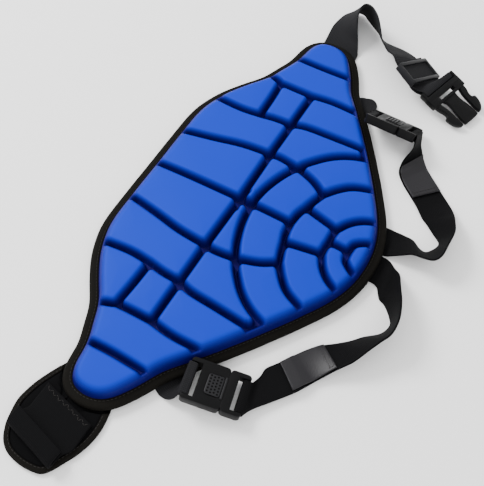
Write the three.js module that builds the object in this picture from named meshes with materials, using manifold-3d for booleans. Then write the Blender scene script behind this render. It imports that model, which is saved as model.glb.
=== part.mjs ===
// A tailbone protector: a mirror-symmetric foam pad that lies face up, with a bound edge, a flap at one tip,
// a waist webbing with a buckle half at the other, and two elastic leg straps in press buckles at the nose.
// Millimetres, +Z up, +X along the pad towards the waist webbing, +Y towards the waist edge.
import * as THREE from "three";
import { mergeVertices } from "three/addons/utils/BufferGeometryUtils.js";
import Module from "manifold-3d";

const wasm = await Module();
wasm.setup();

// Driving dimensions
const PAD_LENGTH = 442;
const PAD_WIDTH = 228;
const CLEARANCE = 0.3;
const LIFT = 2.1; // the bound edge stands this far above the surface that the back field rests on
const TAPE = 1.2; // thickness of the edge tape
const TAPE_COVER = 8.5; // how far the tape reaches in over the face and the back
const BACK_FLANGE = 1.0;
const FACE_FLANGE = 2.0;
const FLOOR_RISE = 2.1; // from the face flange to the floor of the grooves
const CELL_HEIGHT = 7.5;
const CROWN = 5.5; // how much higher the cells are in the middle of the pad
const GROOVE = 2.6; // width of a groove at its floor

const FLAP_LENGTH = 86;
const FLAP_WIDTH = 71;
const FLAP_THICKNESS = 4.0;
const FLAP_TAPE_COVER = 5.0;
const BAND_WIDTH = 51;
const BAND_THICKNESS = 2.6;

const WAIST_WIDTH = 38;
const WAIST_THICKNESS = 1.7;
const LEG_WIDTH = 28;
const LEG_THICKNESS = 1.6;
const TAB_LENGTH = 37;
const TAB_THICKNESS = 1.3;

const PLASTIC_WALL = 3.2; // side rails of every buckle
const BAR_LENGTH = 4.0; // along the webbing
const BAR_HEIGHT = 2.6;
const BAR_CLEARANCE = 0.6; // between a bar and the webbing that goes round it
const LAYER_GAP = 0.6; // between two layers of the same webbing
const GROUND_GAP = 0.1;

// Derived heights
const HALF = PAD_LENGTH / 2;
const BACK_FLANGE_Z = LIFT + TAPE + CLEARANCE;
const FACE_FLANGE_Z = BACK_FLANGE_Z + BACK_FLANGE + CLEARANCE;
const FACE_FLANGE_TOP = FACE_FLANGE_Z + FACE_FLANGE;
const TAPE_TOP = FACE_FLANGE_TOP + CLEARANCE + TAPE;
const GROOVE_Z = FACE_FLANGE_TOP + FLOOR_RISE;

// Materials
const cloth = (color, roughness) => new THREE.MeshStandardMaterial({ color, roughness, metalness: 0 });
const BLUE_FABRIC = cloth(0x2d5fcd, 0.55);
const BACK_FABRIC = cloth(0x1b1b1e, 0.95);
const EDGE_TAPE = cloth(0x23201c, 0.85);
const WEBBING = cloth(0x2d2d30, 0.8);
const ELASTIC = cloth(0x141416, 0.9);
const HOOK_TAPE = cloth(0x55525a, 0.35);
const PLASTIC = cloth(0x232326, 0.4);
const GREY_PLASTIC = cloth(0x4b4b4f, 0.45);

// Small helpers
const vec = (x, y, z) => new THREE.Vector3(x, y, z);
const lerp = THREE.MathUtils.lerp;

function solid(geometry) {
  const bare = geometry.clone();
  for (const name of Object.keys(bare.attributes)) {
    if (name !== "position") bare.deleteAttribute(name);
  }
  const merged = mergeVertices(bare, 1e-4);
  const vertProperties = new Float32Array(merged.attributes.position.array);
  const triVerts = new Uint32Array(merged.index.array);
  return new wasm.Manifold(new wasm.Mesh({ numProp: 3, vertProperties, triVerts }));
}

function geometryOf(manifold) {
  const mesh = manifold.getMesh();
  const geometry = new THREE.BufferGeometry();
  geometry.setAttribute("position", new THREE.BufferAttribute(new Float32Array(mesh.vertProperties), 3));
  geometry.setIndex(new THREE.BufferAttribute(new Uint32Array(mesh.triVerts), 1));
  return geometry;
}

function join(pieces) {
  return pieces.slice(1).reduce((whole, piece) => whole.add(piece), pieces[0]);
}

// A block between two corners.
function block(x0, x1, y0, y1, z0, z1) {
  const box = new THREE.BoxGeometry(x1 - x0, y1 - y0, z1 - z0);
  box.translate((x0 + x1) / 2, (y0 + y1) / 2, (z0 + z1) / 2);
  return solid(box);
}

// A flat outline in X and Y, extruded from z0 to z1.
function plate(points, z0, z1) {
  const shape = new THREE.Shape(points.map(([x, y]) => new THREE.Vector2(x, y)));
  const slab = new THREE.ExtrudeGeometry(shape, { depth: z1 - z0, bevelEnabled: false });
  slab.translate(0, 0, z0);
  return solid(slab);
}

// Rings of equal point counts, joined in order; an open stack is capped by fans from the middle of its end rings,
// and a closed one joins its last ring to its first.
function loft(rings, { closed = false } = {}) {
  const count = rings[0].length;
  const points = rings.flat();
  const index = [];
  const bands = closed ? rings.length : rings.length - 1;
  for (let r = 0; r < bands; r += 1) {
    const lower = r * count;
    const upper = ((r + 1) % rings.length) * count;
    for (let i = 0; i < count; i += 1) {
      const j = (i + 1) % count;
      index.push(lower + i, lower + j, upper + j, lower + i, upper + j, upper + i);
    }
  }
  if (!closed) {
    const cap = (ring, base, up) => {
      const hub = points.length;
      points.push(ring.reduce((sum, p) => sum.add(p), vec(0, 0, 0)).divideScalar(count));
      for (let i = 0; i < count; i += 1) {
        const j = (i + 1) % count;
        index.push(hub, base + (up ? i : j), base + (up ? j : i));
      }
    };
    cap(rings[0], 0, false);
    cap(rings[rings.length - 1], (rings.length - 1) * count, true);
  }
  const geometry = new THREE.BufferGeometry();
  geometry.setAttribute("position", new THREE.Float32BufferAttribute(points.flatMap((p) => p.toArray()), 3));
  geometry.setIndex(index);
  return geometry;
}

// Pad outline

// Half of the pad's outer edge: along as a share of the half length, across as a share of the width.
const OUTLINE_HALF = [
  { along: 0.0, across: 0.5 },
  { along: 0.2, across: 0.5 },
  { along: 0.325, across: 0.496 },
  { along: 0.415, across: 0.476 },
  { along: 0.505, across: 0.437 },
  { along: 0.59, across: 0.384 },
  { along: 0.66, across: 0.336 },
  { along: 0.725, across: 0.31 },
  { along: 0.805, across: 0.281 },
  { along: 0.895, across: 0.266 },
  { along: 0.96, across: 0.241 },
  { along: 0.995, across: 0.189 },
  { along: 1.0, across: 0.11 },
  { along: 0.964, across: 0.04 },
  { along: 0.887, across: -0.017 },
  { along: 0.78, across: -0.072 },
  { along: 0.68, across: -0.147 },
  { along: 0.57, across: -0.228 },
  { along: 0.452, across: -0.309 },
  { along: 0.326, across: -0.39 },
  { along: 0.208, across: -0.456 },
  { along: 0.1, across: -0.491 },
  { along: 0.0, across: -0.5 },
];

function padPoint({ along, across }, side = 1) {
  return vec(side * along * HALF, across * PAD_WIDTH, 0);
}

function padOutline() {
  const right = OUTLINE_HALF.map((row) => padPoint(row));
  const left = OUTLINE_HALF.slice(1, -1).reverse().map((row) => padPoint(row, -1));
  return new THREE.CatmullRomCurve3([...right, ...left].reverse(), true, "centripetal");
}

const OUTLINE = padOutline();
const EDGE_STATIONS = 72;

// Points of a closed curve moved sideways to its inside, at a height.
function insetRing(curve, inset, z, count = EDGE_STATIONS) {
  const ring = [];
  for (let i = 0; i < count; i += 1) {
    const t = i / count;
    const point = curve.getPointAt(t);
    const tangent = curve.getTangentAt(t);
    ring.push(vec(point.x - tangent.y * inset, point.y + tangent.x * inset, z));
  }
  return ring;
}

// Grooves and cells

// Half of the groove plan: every groove is a smooth line through its points, as shares like the outline's.
const NODES = {
  hub: [0, 0.076],
  apex: [0, 0.026],
  ring: [0, -0.145],
  heel: [0, -0.305],
  chin: [0, -0.387],
  top: [0, 0.5],
  bar_a: [0.254, 0.08],
  bar_b: [0.436, 0.081],
  bar_c: [0.625, 0.082],
  fork: [0.422, 0.218],
  corner: [0.627, 0.23],
  inner: [0.248, -0.046],
  middle: [0.181, -0.191],
  split: [0.092, -0.163],
  lower: [0.063, -0.307],
};
const GROOVES = {
  top_axis: { from: "hub", through: [[0, 0.3]], to: [0, 0.5] },
  hub_axis: { from: "hub", through: [[0, 0.05]], to: "apex" },
  ring_axis: { from: "apex", through: [[0, -0.07]], to: "ring" },
  heel_axis: { from: "heel", through: [[0, -0.35]], to: "chin" },
  bar_inner: { from: "hub", through: [[0.127, 0.078]], to: "bar_a" },
  bar_middle: { from: "bar_a", through: [[0.345, 0.08]], to: "bar_b" },
  bar_outer: { from: "bar_b", through: [[0.53, 0.082]], to: "bar_c" },
  tall: { from: "bar_a", through: [[0.243, 0.2], [0.218, 0.32]], to: [0.189, 0.45] },
  rise: { from: "bar_b", through: [[0.433, 0.15]], to: "fork" },
  crest: { from: "fork", through: [[0.415, 0.31]], to: [0.424, 0.41] },
  shelf: { from: "fork", through: [[0.525, 0.222]], to: "corner" },
  shoulder: { from: "corner", through: [[0.637, 0.25]], to: [0.655, 0.3] },
  wing: { from: "corner", through: [[0.625, 0.155]], to: "bar_c" },
  hip: { from: "bar_c", through: [[0.637, -0.02]], to: [0.634, -0.14] },
  tip: { from: [0.801, 0.25], through: [[0.797, 0.146], [0.799, 0.057]], to: [0.803, -0.04] },
  flank: { from: "bar_b", through: [[0.454, 0.02], [0.462, -0.09]], to: [0.474, -0.25] },
  wedge: { from: "bar_a", through: [[0.257, 0.03]], to: "inner" },
  arch_inner: { from: "apex", through: [[0.091, 0.014], [0.181, -0.013]], to: "inner" },
  arch_outer: { from: "inner", through: [[0.293, -0.073], [0.361, -0.132], [0.409, -0.2]], to: [0.438, -0.27] },
  spoke: { from: "inner", through: [[0.219, -0.13]], to: "middle" },
  bow_inner: { from: "ring", through: [[0.05, -0.15]], to: "split" },
  bow_middle: { from: "split", through: [[0.135, -0.175]], to: "middle" },
  bow_outer: { from: "middle", through: [[0.235, -0.231], [0.277, -0.278]], to: [0.306, -0.345] },
  slat: { from: "split", through: [[0.077, -0.236]], to: "lower" },
  hoop_inner: { from: "heel", through: [[0.03, -0.304]], to: "lower" },
  hoop_outer: { from: "lower", through: [[0.113, -0.335], [0.153, -0.377]], to: [0.176, -0.42] },
  chin_bow: { from: "chin", through: [[0.045, -0.397]], to: [0.09, -0.455] },
};

// Every cell as the grooves around it, in order; a gap between two of them is closed along the rim.
const PAIRED_CELLS = {
  tip: ["tip"],
  wing: ["tip", "hip", "wing", "shoulder"],
  crest: ["shoulder", "shelf", "crest"],
  shelf: ["shelf", "wing", "bar_outer", "rise"],
  tall: ["crest", "rise", "bar_middle", "tall"],
  centre: ["tall", "bar_inner", "top_axis"],
  hip: ["bar_outer", "hip", "flank"],
  flank: ["bar_middle", "flank", "arch_outer", "wedge"],
  wedge: ["bar_inner", "wedge", "arch_inner", "hub_axis"],
  ring: ["ring_axis", "arch_inner", "spoke", "bow_middle", "bow_inner"],
  side: ["spoke", "arch_outer", "bow_outer"],
  slat: ["slat", "bow_middle", "bow_outer", "hoop_outer"],
  nose: ["heel_axis", "hoop_inner", "hoop_outer", "chin_bow"],
};
const CENTRE_CELLS = {
  core: ["bow_inner", "slat", "hoop_inner", "-hoop_inner", "-slat", "-bow_inner"],
  chin: ["chin_bow", "-chin_bow"],
};

const RIM_INSET = TAPE_COVER + 0.6;
const RIM_COUNT = 420;
const RIM = insetRing(OUTLINE, RIM_INSET, 0, RIM_COUNT);

function rimIndex(point) {
  let best = 0;
  RIM.forEach((p, i) => {
    if (p.distanceToSquared(point) < RIM[best].distanceToSquared(point)) best = i;
  });
  return best;
}

function offRim(point) {
  return RIM[rimIndex(point)].distanceTo(point);
}

// A groove as points on one side of the pad; an end that isn't a node is moved out to the rim.
function groovePoints(name, side) {
  const { from, through, to } = GROOVES[name];
  const place = (share) => padPoint({ along: share[0], across: share[1] }, side);
  const end = (at) => (typeof at === "string" ? place(NODES[at]) : RIM[rimIndex(place(at))].clone());
  const curve = new THREE.CatmullRomCurve3([end(from), ...through.map(place), end(to)], false, "centripetal");
  return curve.getSpacedPoints(8);
}

function rimBetween(a, b) {
  const start = rimIndex(a);
  const finish = rimIndex(b);
  const forward = (finish - start + RIM_COUNT) % RIM_COUNT;
  const step = forward <= RIM_COUNT / 2 ? 1 : -1;
  const length = Math.min(forward, RIM_COUNT - forward);
  const points = [];
  for (let i = 1; i < length; i += 1) points.push(RIM[(start + step * i + RIM_COUNT) % RIM_COUNT].clone());
  return points;
}

function cellOutline(names, side) {
  const lines = names.map((name) => {
    const mirrored = name.startsWith("-");
    return groovePoints(mirrored ? name.slice(1) : name, mirrored ? -side : side);
  });
  const next = lines[1] ?? lines[0];
  const reach = (p) => Math.min(p.distanceTo(next[0]), p.distanceTo(next[next.length - 1]));
  if (lines.length > 1 && reach(lines[0][0]) < reach(lines[0][lines[0].length - 1])) lines[0].reverse();
  const loop = [...lines[0]];
  const gap = 1.0;
  for (const line of lines.slice(1)) {
    const last = loop[loop.length - 1];
    const far = line[line.length - 1];
    const joined = Math.min(last.distanceTo(line[0]), last.distanceTo(far)) < gap;
    const turned = joined ? last.distanceTo(far) < gap : offRim(far) < offRim(line[0]);
    if (turned) line.reverse();
    if (!joined) loop.push(...rimBetween(last, line[0]));
    loop.push(...line);
  }
  if (loop[loop.length - 1].distanceTo(loop[0]) > gap) loop.push(...rimBetween(loop[loop.length - 1], loop[0]));
  return loop;
}

// Equal steps along a closed line of points.
function resample(loop, count) {
  const lengths = [0];
  loop.forEach((p, i) => lengths.push(lengths[i] + p.distanceTo(loop[(i + 1) % loop.length])));
  const total = lengths[loop.length];
  const points = [];
  let at = 0;
  for (let i = 0; i < count; i += 1) {
    const want = (total * i) / count;
    while (lengths[at + 1] < want) at += 1;
    const share = (want - lengths[at]) / (lengths[at + 1] - lengths[at] || 1);
    points.push(loop[at].clone().lerp(loop[(at + 1) % loop.length], share));
  }
  return points;
}

function signedArea(loop) {
  return loop.reduce((sum, p, i) => {
    const q = loop[(i + 1) % loop.length];
    return sum + (p.x * q.y - p.y * q.x) / 2;
  }, 0);
}

// Each point halfway to the middle of its neighbours, which rounds the corners.
function relaxed(loop, times) {
  let points = loop;
  for (let n = 0; n < times; n += 1) {
    points = points.map((p, i) => {
      const before = points[(i + points.length - 1) % points.length];
      const after = points[(i + 1) % points.length];
      return p.clone().lerp(before.clone().add(after).multiplyScalar(0.5), 0.5);
    });
  }
  return points;
}

// An anticlockwise loop moved inwards.
function inward(loop, distance) {
  return loop.map((p, i) => {
    const before = loop[(i + loop.length - 1) % loop.length];
    const after = loop[(i + 1) % loop.length];
    const along = after.clone().sub(before).normalize();
    return vec(p.x - along.y * distance, p.y + along.x * distance, p.z);
  });
}

// How much the pad's crown adds at a place: full in the middle, nothing at the edge.
function crownAt(p) {
  const along = Math.min(1, Math.abs(p.x) / HALF);
  const across = Math.min(1, Math.abs(p.y) / (PAD_WIDTH / 2));
  return CROWN * (1 - along * along) * (1 - across * across);
}

// The levels of a cell's rounded side: how far in, and how much of the height.
const CELL_LEVELS = [
  { inset: 0.0, height: -0.15 },
  { inset: 0.3, height: 0.45 },
  { inset: 2.0, height: 0.86 },
  { inset: 4.6, height: 1.0 },
];
const CELL_POINTS = 18;
const FINE = 3; // points of the smooth loop for each point that is kept

// A loop drawn in by small steps, each smoothed a little, so that narrow corners round off and never cross.
function drawnIn(loop, distance) {
  const steps = Math.max(1, Math.ceil(distance / 0.5));
  let points = loop;
  for (let n = 0; n < steps; n += 1) points = relaxed(inward(points, distance / steps), 1);
  return points;
}

function cellBody(names, side) {
  const raw = cellOutline(names, side);
  const loop = signedArea(raw) > 0 ? raw : [...raw].reverse();
  let fine = resample(drawnIn(relaxed(resample(loop, 6 * CELL_POINTS), 10), GROOVE / 2), FINE * CELL_POINTS);
  const centre = fine.reduce((sum, p) => sum.add(p), vec(0, 0, 0)).divideScalar(fine.length);
  const room = Math.min(...fine.map((p) => p.distanceTo(centre)));
  const tightness = Math.min(1, room / 12);
  let inset = 0;
  const rings = CELL_LEVELS.map((level) => {
    if (level.inset > inset) fine = drawnIn(fine, (level.inset - inset) * tightness);
    inset = level.inset;
    return fine
      .filter((_, i) => i % FINE === 0)
      .map((p) => {
        const lift = Math.max(0, level.height) * crownAt(p);
        return vec(p.x, p.y, GROOVE_Z + level.height * CELL_HEIGHT + lift);
      });
  });
  return solid(loft(rings));
}

function paddedPanel() {
  const inside = TAPE + CLEARANCE;
  const field = TAPE_COVER + CLEARANCE;
  const slab = loft([
    insetRing(OUTLINE, inside, FACE_FLANGE_Z),
    insetRing(OUTLINE, inside, FACE_FLANGE_TOP),
    insetRing(OUTLINE, field, FACE_FLANGE_TOP),
    insetRing(OUTLINE, field + 1.2, GROOVE_Z),
  ]);
  const cells = [];
  for (const names of Object.values(PAIRED_CELLS)) cells.push(cellBody(names, 1), cellBody(names, -1));
  for (const names of Object.values(CENTRE_CELLS)) cells.push(cellBody(names, 1));
  return geometryOf(join([solid(slab), ...cells]));
}

function backPanel() {
  const inside = TAPE + CLEARANCE;
  const field = TAPE_COVER + 2.0;
  return loft([
    insetRing(OUTLINE, field, 0),
    insetRing(OUTLINE, field, BACK_FLANGE_Z),
    insetRing(OUTLINE, inside, BACK_FLANGE_Z),
    insetRing(OUTLINE, inside, BACK_FLANGE_Z + BACK_FLANGE),
  ]);
}

// The tape's section: how far in from the outer edge, and how high.
function tapeSection(cover, bottom, top, tape) {
  const round = 1.5;
  const inner = tape + 0.5;
  return [
    [cover, bottom],
    [round, bottom],
    [0, bottom + round],
    [0, top - round],
    [round, top],
    [cover, top],
    [cover, top - tape],
    [inner, top - tape],
    [tape, top - inner],
    [tape, bottom + inner],
    [inner, bottom + tape],
    [cover, bottom + tape],
  ];
}

function edgeBinding() {
  const section = tapeSection(TAPE_COVER, LIFT, TAPE_TOP, TAPE);
  const lanes = section.map(([inset, z]) => insetRing(OUTLINE, inset, z));
  const rings = lanes[0].map((_, i) => lanes.map((lane) => lane[i]));
  return loft(rings.reverse(), { closed: true });
}


// Ribbons

// A row gives the centre line and the direction across the ribbon; sizes that each column is a share of are named
// where the table is used.
function ribbonFrames(rows, scale, stations, width, thickness) {
  const centres = rows.map((r) => vec(r.x * scale.x, r.y * scale.y, r.z * scale.z));
  const sides = rows.map((r) => vec(r.across_x, r.across_y, r.across_z).normalize());
  const line = new THREE.CatmullRomCurve3(centres, false, "centripetal");
  const turn = new THREE.CatmullRomCurve3(sides, false, "catmullrom", 0.5);
  const frames = [];
  for (let i = 0; i < stations; i += 1) {
    const t = line.getUtoTmapping(i / (stations - 1));
    const along = line.getTangent(t).normalize();
    const across = turn.getPoint(t).normalize();
    frames.push({ at: line.getPoint(t), along, across, up: across.clone().cross(along).normalize() });
  }
  return frames.map((frame) => grounded(frame, width, thickness));
}

// No ribbon goes below the surface that it lies on.
function grounded(frame, width, thickness) {
  const reach = (Math.abs(frame.across.z) * width + Math.abs(frame.up.z) * thickness) / 2;
  return { ...frame, at: frame.at.clone().setZ(Math.max(frame.at.z, GROUND_GAP + reach)) };
}

function lifted(frame, height) {
  return { ...frame, at: frame.at.clone().addScaledVector(frame.up, height) };
}

// A rectangle of cloth carried through the frames.
function sweep(frames, width, thickness) {
  const rings = frames.map(({ at, across, up }) => {
    const corner = (side, level) =>
      at.clone().addScaledVector(across, (side * width) / 2).addScaledVector(up, (level * thickness) / 2);
    return [corner(-1, -1), corner(-1, 1), corner(1, 1), corner(1, -1)];
  });
  return loft(rings);
}

// Pushes a circle's sine or cosine out towards a square, so that a turn clears the bar's corners.
function squared(value) {
  return Math.sign(value) * Math.abs(value) ** 0.6;
}

// The way round a bar: half a turn from below it to above it, then back over the same frames.
function roundBar(frames, bar, thickness, back) {
  const last = frames[frames.length - 1];
  const reachUp = bar.height / 2 + BAR_CLEARANCE + thickness / 2;
  const reachOn = bar.length / 2 + BAR_CLEARANCE + thickness / 2;
  const centre = lifted(last, reachUp).at;
  const turn = [];
  const steps = 6;
  for (let i = 1; i < steps; i += 1) {
    const angle = (Math.PI * i) / steps;
    const at = centre
      .clone()
      .addScaledVector(last.along, squared(Math.sin(angle)) * reachOn)
      .addScaledVector(last.up, -squared(Math.cos(angle)) * reachUp);
    const up = last.up.clone().multiplyScalar(Math.cos(angle)).addScaledVector(last.along, -Math.sin(angle));
    turn.push({ at, across: last.across, up });
  }
  const close = thickness + LAYER_GAP;
  const over = frames
    .slice(frames.length - back)
    .reverse()
    .map((frame, i) => {
      const far = Math.min(1, i / Math.min(4, back - 1));
      const gap = lerp(2 * reachUp, back > 3 ? close : 2 * reachUp, THREE.MathUtils.smoothstep(far, 0, 1));
      const raised = lifted(frame, gap);
      return { ...raised, up: frame.up.clone().negate() };
    });
  return [...frames, ...turn, ...over];
}

const BAR = { length: BAR_LENGTH, height: BAR_HEIGHT };

// Leg straps: x as a share of the half length, y of the pad width, z of the strap width.
const LEG_SCALE = { x: HALF, y: PAD_WIDTH, z: LEG_WIDTH };
const LEG_STRAP_A = [
  { x: 0.158, y: -0.447, z: 0.036, across_x: -1, across_y: 0, across_z: 0 },
  { x: 0.158, y: -0.491, z: 0.039, across_x: -1, across_y: 0, across_z: 0 },
  { x: 0.164, y: -0.542, z: 0.2, across_x: -0.92, across_y: -0.22, across_z: 0.33 },
  { x: 0.167, y: -0.579, z: 0.304, across_x: -0.81, across_y: -0.26, across_z: 0.52 },
  { x: 0.152, y: -0.62, z: 0.382, across_x: -0.67, across_y: -0.32, across_z: 0.67 },
  { x: 0.155, y: -0.651, z: 0.396, across_x: -0.58, across_y: -0.4, across_z: 0.71 },
  { x: 0.178, y: -0.669, z: 0.429, across_x: -0.53, across_y: -0.39, across_z: 0.75 },
  { x: 0.23, y: -0.676, z: 0.471, across_x: -0.39, across_y: -0.32, across_z: 0.86 },
  { x: 0.285, y: -0.653, z: 0.414, across_x: -0.07, across_y: -0.64, across_z: 0.77 },
  { x: 0.324, y: -0.628, z: 0.329, across_x: 0.15, across_y: -0.76, across_z: 0.63 },
  { x: 0.367, y: -0.599, z: 0.186, across_x: 0.46, across_y: -0.84, across_z: 0.29 },
  { x: 0.41, y: -0.564, z: 0.068, across_x: 0.68, across_y: -0.73, across_z: 0.04 },
  { x: 0.455, y: -0.513, z: 0.039, across_x: 0.73, across_y: -0.68, across_z: 0 },
  { x: 0.508, y: -0.45, z: 0.039, across_x: 0.83, across_y: -0.55, across_z: 0 },
  { x: 0.552, y: -0.41, z: 0.057, across_x: 0.89, across_y: -0.45, across_z: -0.03 },
  { x: 0.595, y: -0.392, z: 0.164, across_x: 0.92, across_y: -0.33, across_z: -0.22 },
  { x: 0.631, y: -0.391, z: 0.3, across_x: 0.88, across_y: -0.15, across_z: -0.44 },
  { x: 0.651, y: -0.384, z: 0.389, across_x: 0.81, across_y: -0.04, across_z: -0.58 },
];
const LEG_STRAP_B = [
  { x: 0.025, y: -0.461, z: 0.034, across_x: -1, across_y: 0, across_z: 0 },
  { x: 0.023, y: -0.524, z: 0.034, across_x: -1, across_y: 0, across_z: 0 },
  { x: -0.014, y: -0.558, z: 0.143, across_x: -0.97, across_y: 0.09, across_z: -0.24 },
  { x: -0.077, y: -0.6, z: 0.482, across_x: -0.35, across_y: 0.22, across_z: -0.91 },
  { x: -0.136, y: -0.639, z: 0.521, across_x: -0.07, across_y: 0.18, across_z: -0.98 },
  { x: -0.181, y: -0.655, z: 0.514, across_x: 0.18, across_y: 0.22, across_z: -0.96 },
  { x: -0.235, y: -0.648, z: 0.479, across_x: 0.3, across_y: 0.34, across_z: -0.89 },
  { x: -0.277, y: -0.614, z: 0.421, across_x: 0.26, across_y: 0.57, across_z: -0.78 },
  { x: -0.321, y: -0.585, z: 0.364, across_x: 0.36, across_y: 0.64, across_z: -0.68 },
  { x: -0.364, y: -0.554, z: 0.286, across_x: 0.53, across_y: 0.7, across_z: -0.49 },
  { x: -0.407, y: -0.511, z: 0.186, across_x: 0.61, across_y: 0.74, across_z: -0.29 },
  { x: -0.466, y: -0.465, z: 0.089, across_x: 0.57, across_y: 0.82, across_z: -0.09 },
  { x: -0.543, y: -0.421, z: 0.086, across_x: 0.62, across_y: 0.78, across_z: -0.07 },
  { x: -0.613, y: -0.372, z: 0.093, across_x: 0.77, across_y: 0.64, across_z: -0.07 },
  { x: -0.661, y: -0.348, z: 0.129, across_x: 0.91, across_y: 0.4, across_z: -0.14 },
  { x: -0.69, y: -0.339, z: 0.179, across_x: 0.95, across_y: 0.26, across_z: -0.17 },
];
const LEG_STATIONS = 64;


function spanOf(frames, from, length) {
  let run = 0;
  let i = from;
  while (i > 0 && run < length) {
    run += frames[i].at.distanceTo(frames[i - 1].at);
    i -= 1;
  }
  return i;
}

// A strap that leaves the nose, goes round the buckle's bar and lies doubled as far as its hook tab.
function legStrap(rows, barFrame, doubled) {
  const table = ribbonFrames(rows, LEG_SCALE, LEG_STATIONS, LEG_WIDTH, LEG_THICKNESS);
  const frames = intoBar(table, barFrame, 8, LEG_WIDTH, LEG_THICKNESS);
  const back = frames.length - spanOf(frames, frames.length - 1, doubled);
  const strap = sweep(roundBar(frames, BAR, LEG_THICKNESS, back), LEG_WIDTH, LEG_THICKNESS);
  const level = (LEG_THICKNESS + TAB_THICKNESS) / 2 + LAYER_GAP + 0.2;
  const first = frames.length - back;
  const start = first + 3;
  const end = spanOf(frames, start, TAB_LENGTH);
  const tabFrames = [];
  for (let i = start; i >= end; i -= 1) {
    const step = THREE.MathUtils.smoothstep(first - i, -0.5, 2.5);
    tabFrames.push(lifted(frames[i], level + (1 - step) * (LEG_THICKNESS + LAYER_GAP)));
  }
  return { strap, tab: sweep(tabFrames.reverse(), LEG_WIDTH - 1.5, TAB_THICKNESS) };
}

// The last stations are drawn into line with the bar that the ribbon goes round, and end under it.
function intoBar(frames, target, ease, width, thickness) {
  const last = frames[frames.length - 1];
  const before = target.at.clone().addScaledVector(target.along, -(BAR_LENGTH / 2 + 1));
  const shift = before.clone().sub(last.at);
  const drawn = frames.map((frame, i) => {
    const share = THREE.MathUtils.smoothstep(i, frames.length - 1 - ease, frames.length - 1);
    const at = frame.at.clone().addScaledVector(shift, share);
    const across = frame.across.clone().lerp(target.across, share).normalize();
    const along = frame.along.clone().lerp(target.along, share).normalize();
    return { at, along, across, up: across.clone().cross(along).normalize() };
  });
  return [...drawn.map((frame) => grounded(frame, width, thickness)), target];
}

// Buckles

function roundedRect(width, length, radius, x = 0, y = 0, steps = 3) {
  const points = [];
  const corners = [[1, -1, -90], [1, 1, 0], [-1, 1, 90], [-1, -1, 180]];
  for (const [sx, sy, start] of corners) {
    for (let i = 0; i <= steps; i += 1) {
      const angle = THREE.MathUtils.degToRad(start + (90 * i) / steps);
      const cx = x + sx * (width / 2 - radius);
      const cy = y + sy * (length / 2 - radius);
      points.push([cx + radius * Math.cos(angle), cy + radius * Math.sin(angle)]);
    }
  }
  return points;
}

const BUCKLE_THICKNESS = 8;
const BUCKLE_WIDTH = LEG_WIDTH + 2 * (CLEARANCE + PLASTIC_WALL) + 1.4;
const SOCKET_LENGTH = 32;
const FRAME_LENGTH = 17;
const SLOT_LENGTH = 5.5; // room for the webbing between a bar and the body
const TONGUE_LENGTH = 15;
const TONGUE_WIDTH = 24;
const TONGUE_HEIGHT = 2.6;
const PRESS_WIDTH = 18;
const PRESS_LENGTH = 13;
const BUCKLE_SLOT = LEG_WIDTH + 2 * CLEARANCE + 0.6;

// A buckle body with a slot and a thin bar at its end; the seam is at y = 0 and the body runs to `length`.
function barEnded(length, direction) {
  const centre = (direction * length) / 2;
  const body = plate(roundedRect(BUCKLE_WIDTH, length, 3, 0, centre), 0, BUCKLE_THICKNESS);
  const barIn = direction * (length - BAR_LENGTH);
  const slotIn = direction * (length - BAR_LENGTH - SLOT_LENGTH);
  const [y0, y1] = [Math.min(barIn, slotIn), Math.max(barIn, slotIn)];
  const slot = block(-BUCKLE_SLOT / 2, BUCKLE_SLOT / 2, y0, y1, -1, BUCKLE_THICKNESS + 1);
  const out = direction * (length + 1);
  const [e0, e1] = [Math.min(barIn, out), Math.max(barIn, out)];
  const middle = BUCKLE_THICKNESS / 2;
  const above = block(-BUCKLE_SLOT / 2, BUCKLE_SLOT / 2, e0, e1, middle + BAR_HEIGHT / 2, BUCKLE_THICKNESS + 1);
  const below = block(-BUCKLE_SLOT / 2, BUCKLE_SLOT / 2, e0, e1, -1, middle - BAR_HEIGHT / 2);
  return body.subtract(slot).subtract(above).subtract(below);
}

function buckleSocket() {
  const middle = BUCKLE_THICKNESS / 2;
  const reach = TONGUE_LENGTH + CLEARANCE;
  const half = TONGUE_WIDTH / 2 + CLEARANCE;
  const high = middle + TONGUE_HEIGHT / 2 + CLEARANCE;
  const channel = block(-half, half, -1, reach, middle - TONGUE_HEIGHT / 2 - CLEARANCE, high);
  const window = plate(
    roundedRect(PRESS_WIDTH + 2 * CLEARANCE, PRESS_LENGTH + 2 * CLEARANCE, 4, 0, PRESS_LENGTH / 2 + 2.5),
    middle,
    BUCKLE_THICKNESS + 1,
  );
  return geometryOf(barEnded(SOCKET_LENGTH, 1).subtract(channel).subtract(window));
}

function buckleFrame() {
  const middle = BUCKLE_THICKNESS / 2;
  const body = barEnded(FRAME_LENGTH, -1);
  const half = TONGUE_WIDTH / 2;
  const tongue = block(-half, half, -3, TONGUE_LENGTH, middle - TONGUE_HEIGHT / 2, middle + TONGUE_HEIGHT / 2);
  return geometryOf(body.add(tongue));
}

function pressPad() {
  const bottom = BUCKLE_THICKNESS / 2 + TONGUE_HEIGHT / 2 + CLEARANCE;
  const outline = roundedRect(PRESS_WIDTH, PRESS_LENGTH, 3.7, 0, PRESS_LENGTH / 2 + 2.5);
  return geometryOf(plate(outline, bottom, BUCKLE_THICKNESS + 0.6));
}

// Where each buckle lies: its seam, the way it points and the side that is raised, from the pad's size.
const BUCKLE_PLACES = {
  a: { x: 0.66, y: -0.309, z: 16, along: [0, 1, 0.02], across: [0.786, 0, -0.618] },
  b: { x: -0.713, y: -0.267, z: 10.4, along: [-0.226, 0.97, 0.16], across: [0.96, 0.22, -0.08] },
};

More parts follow.
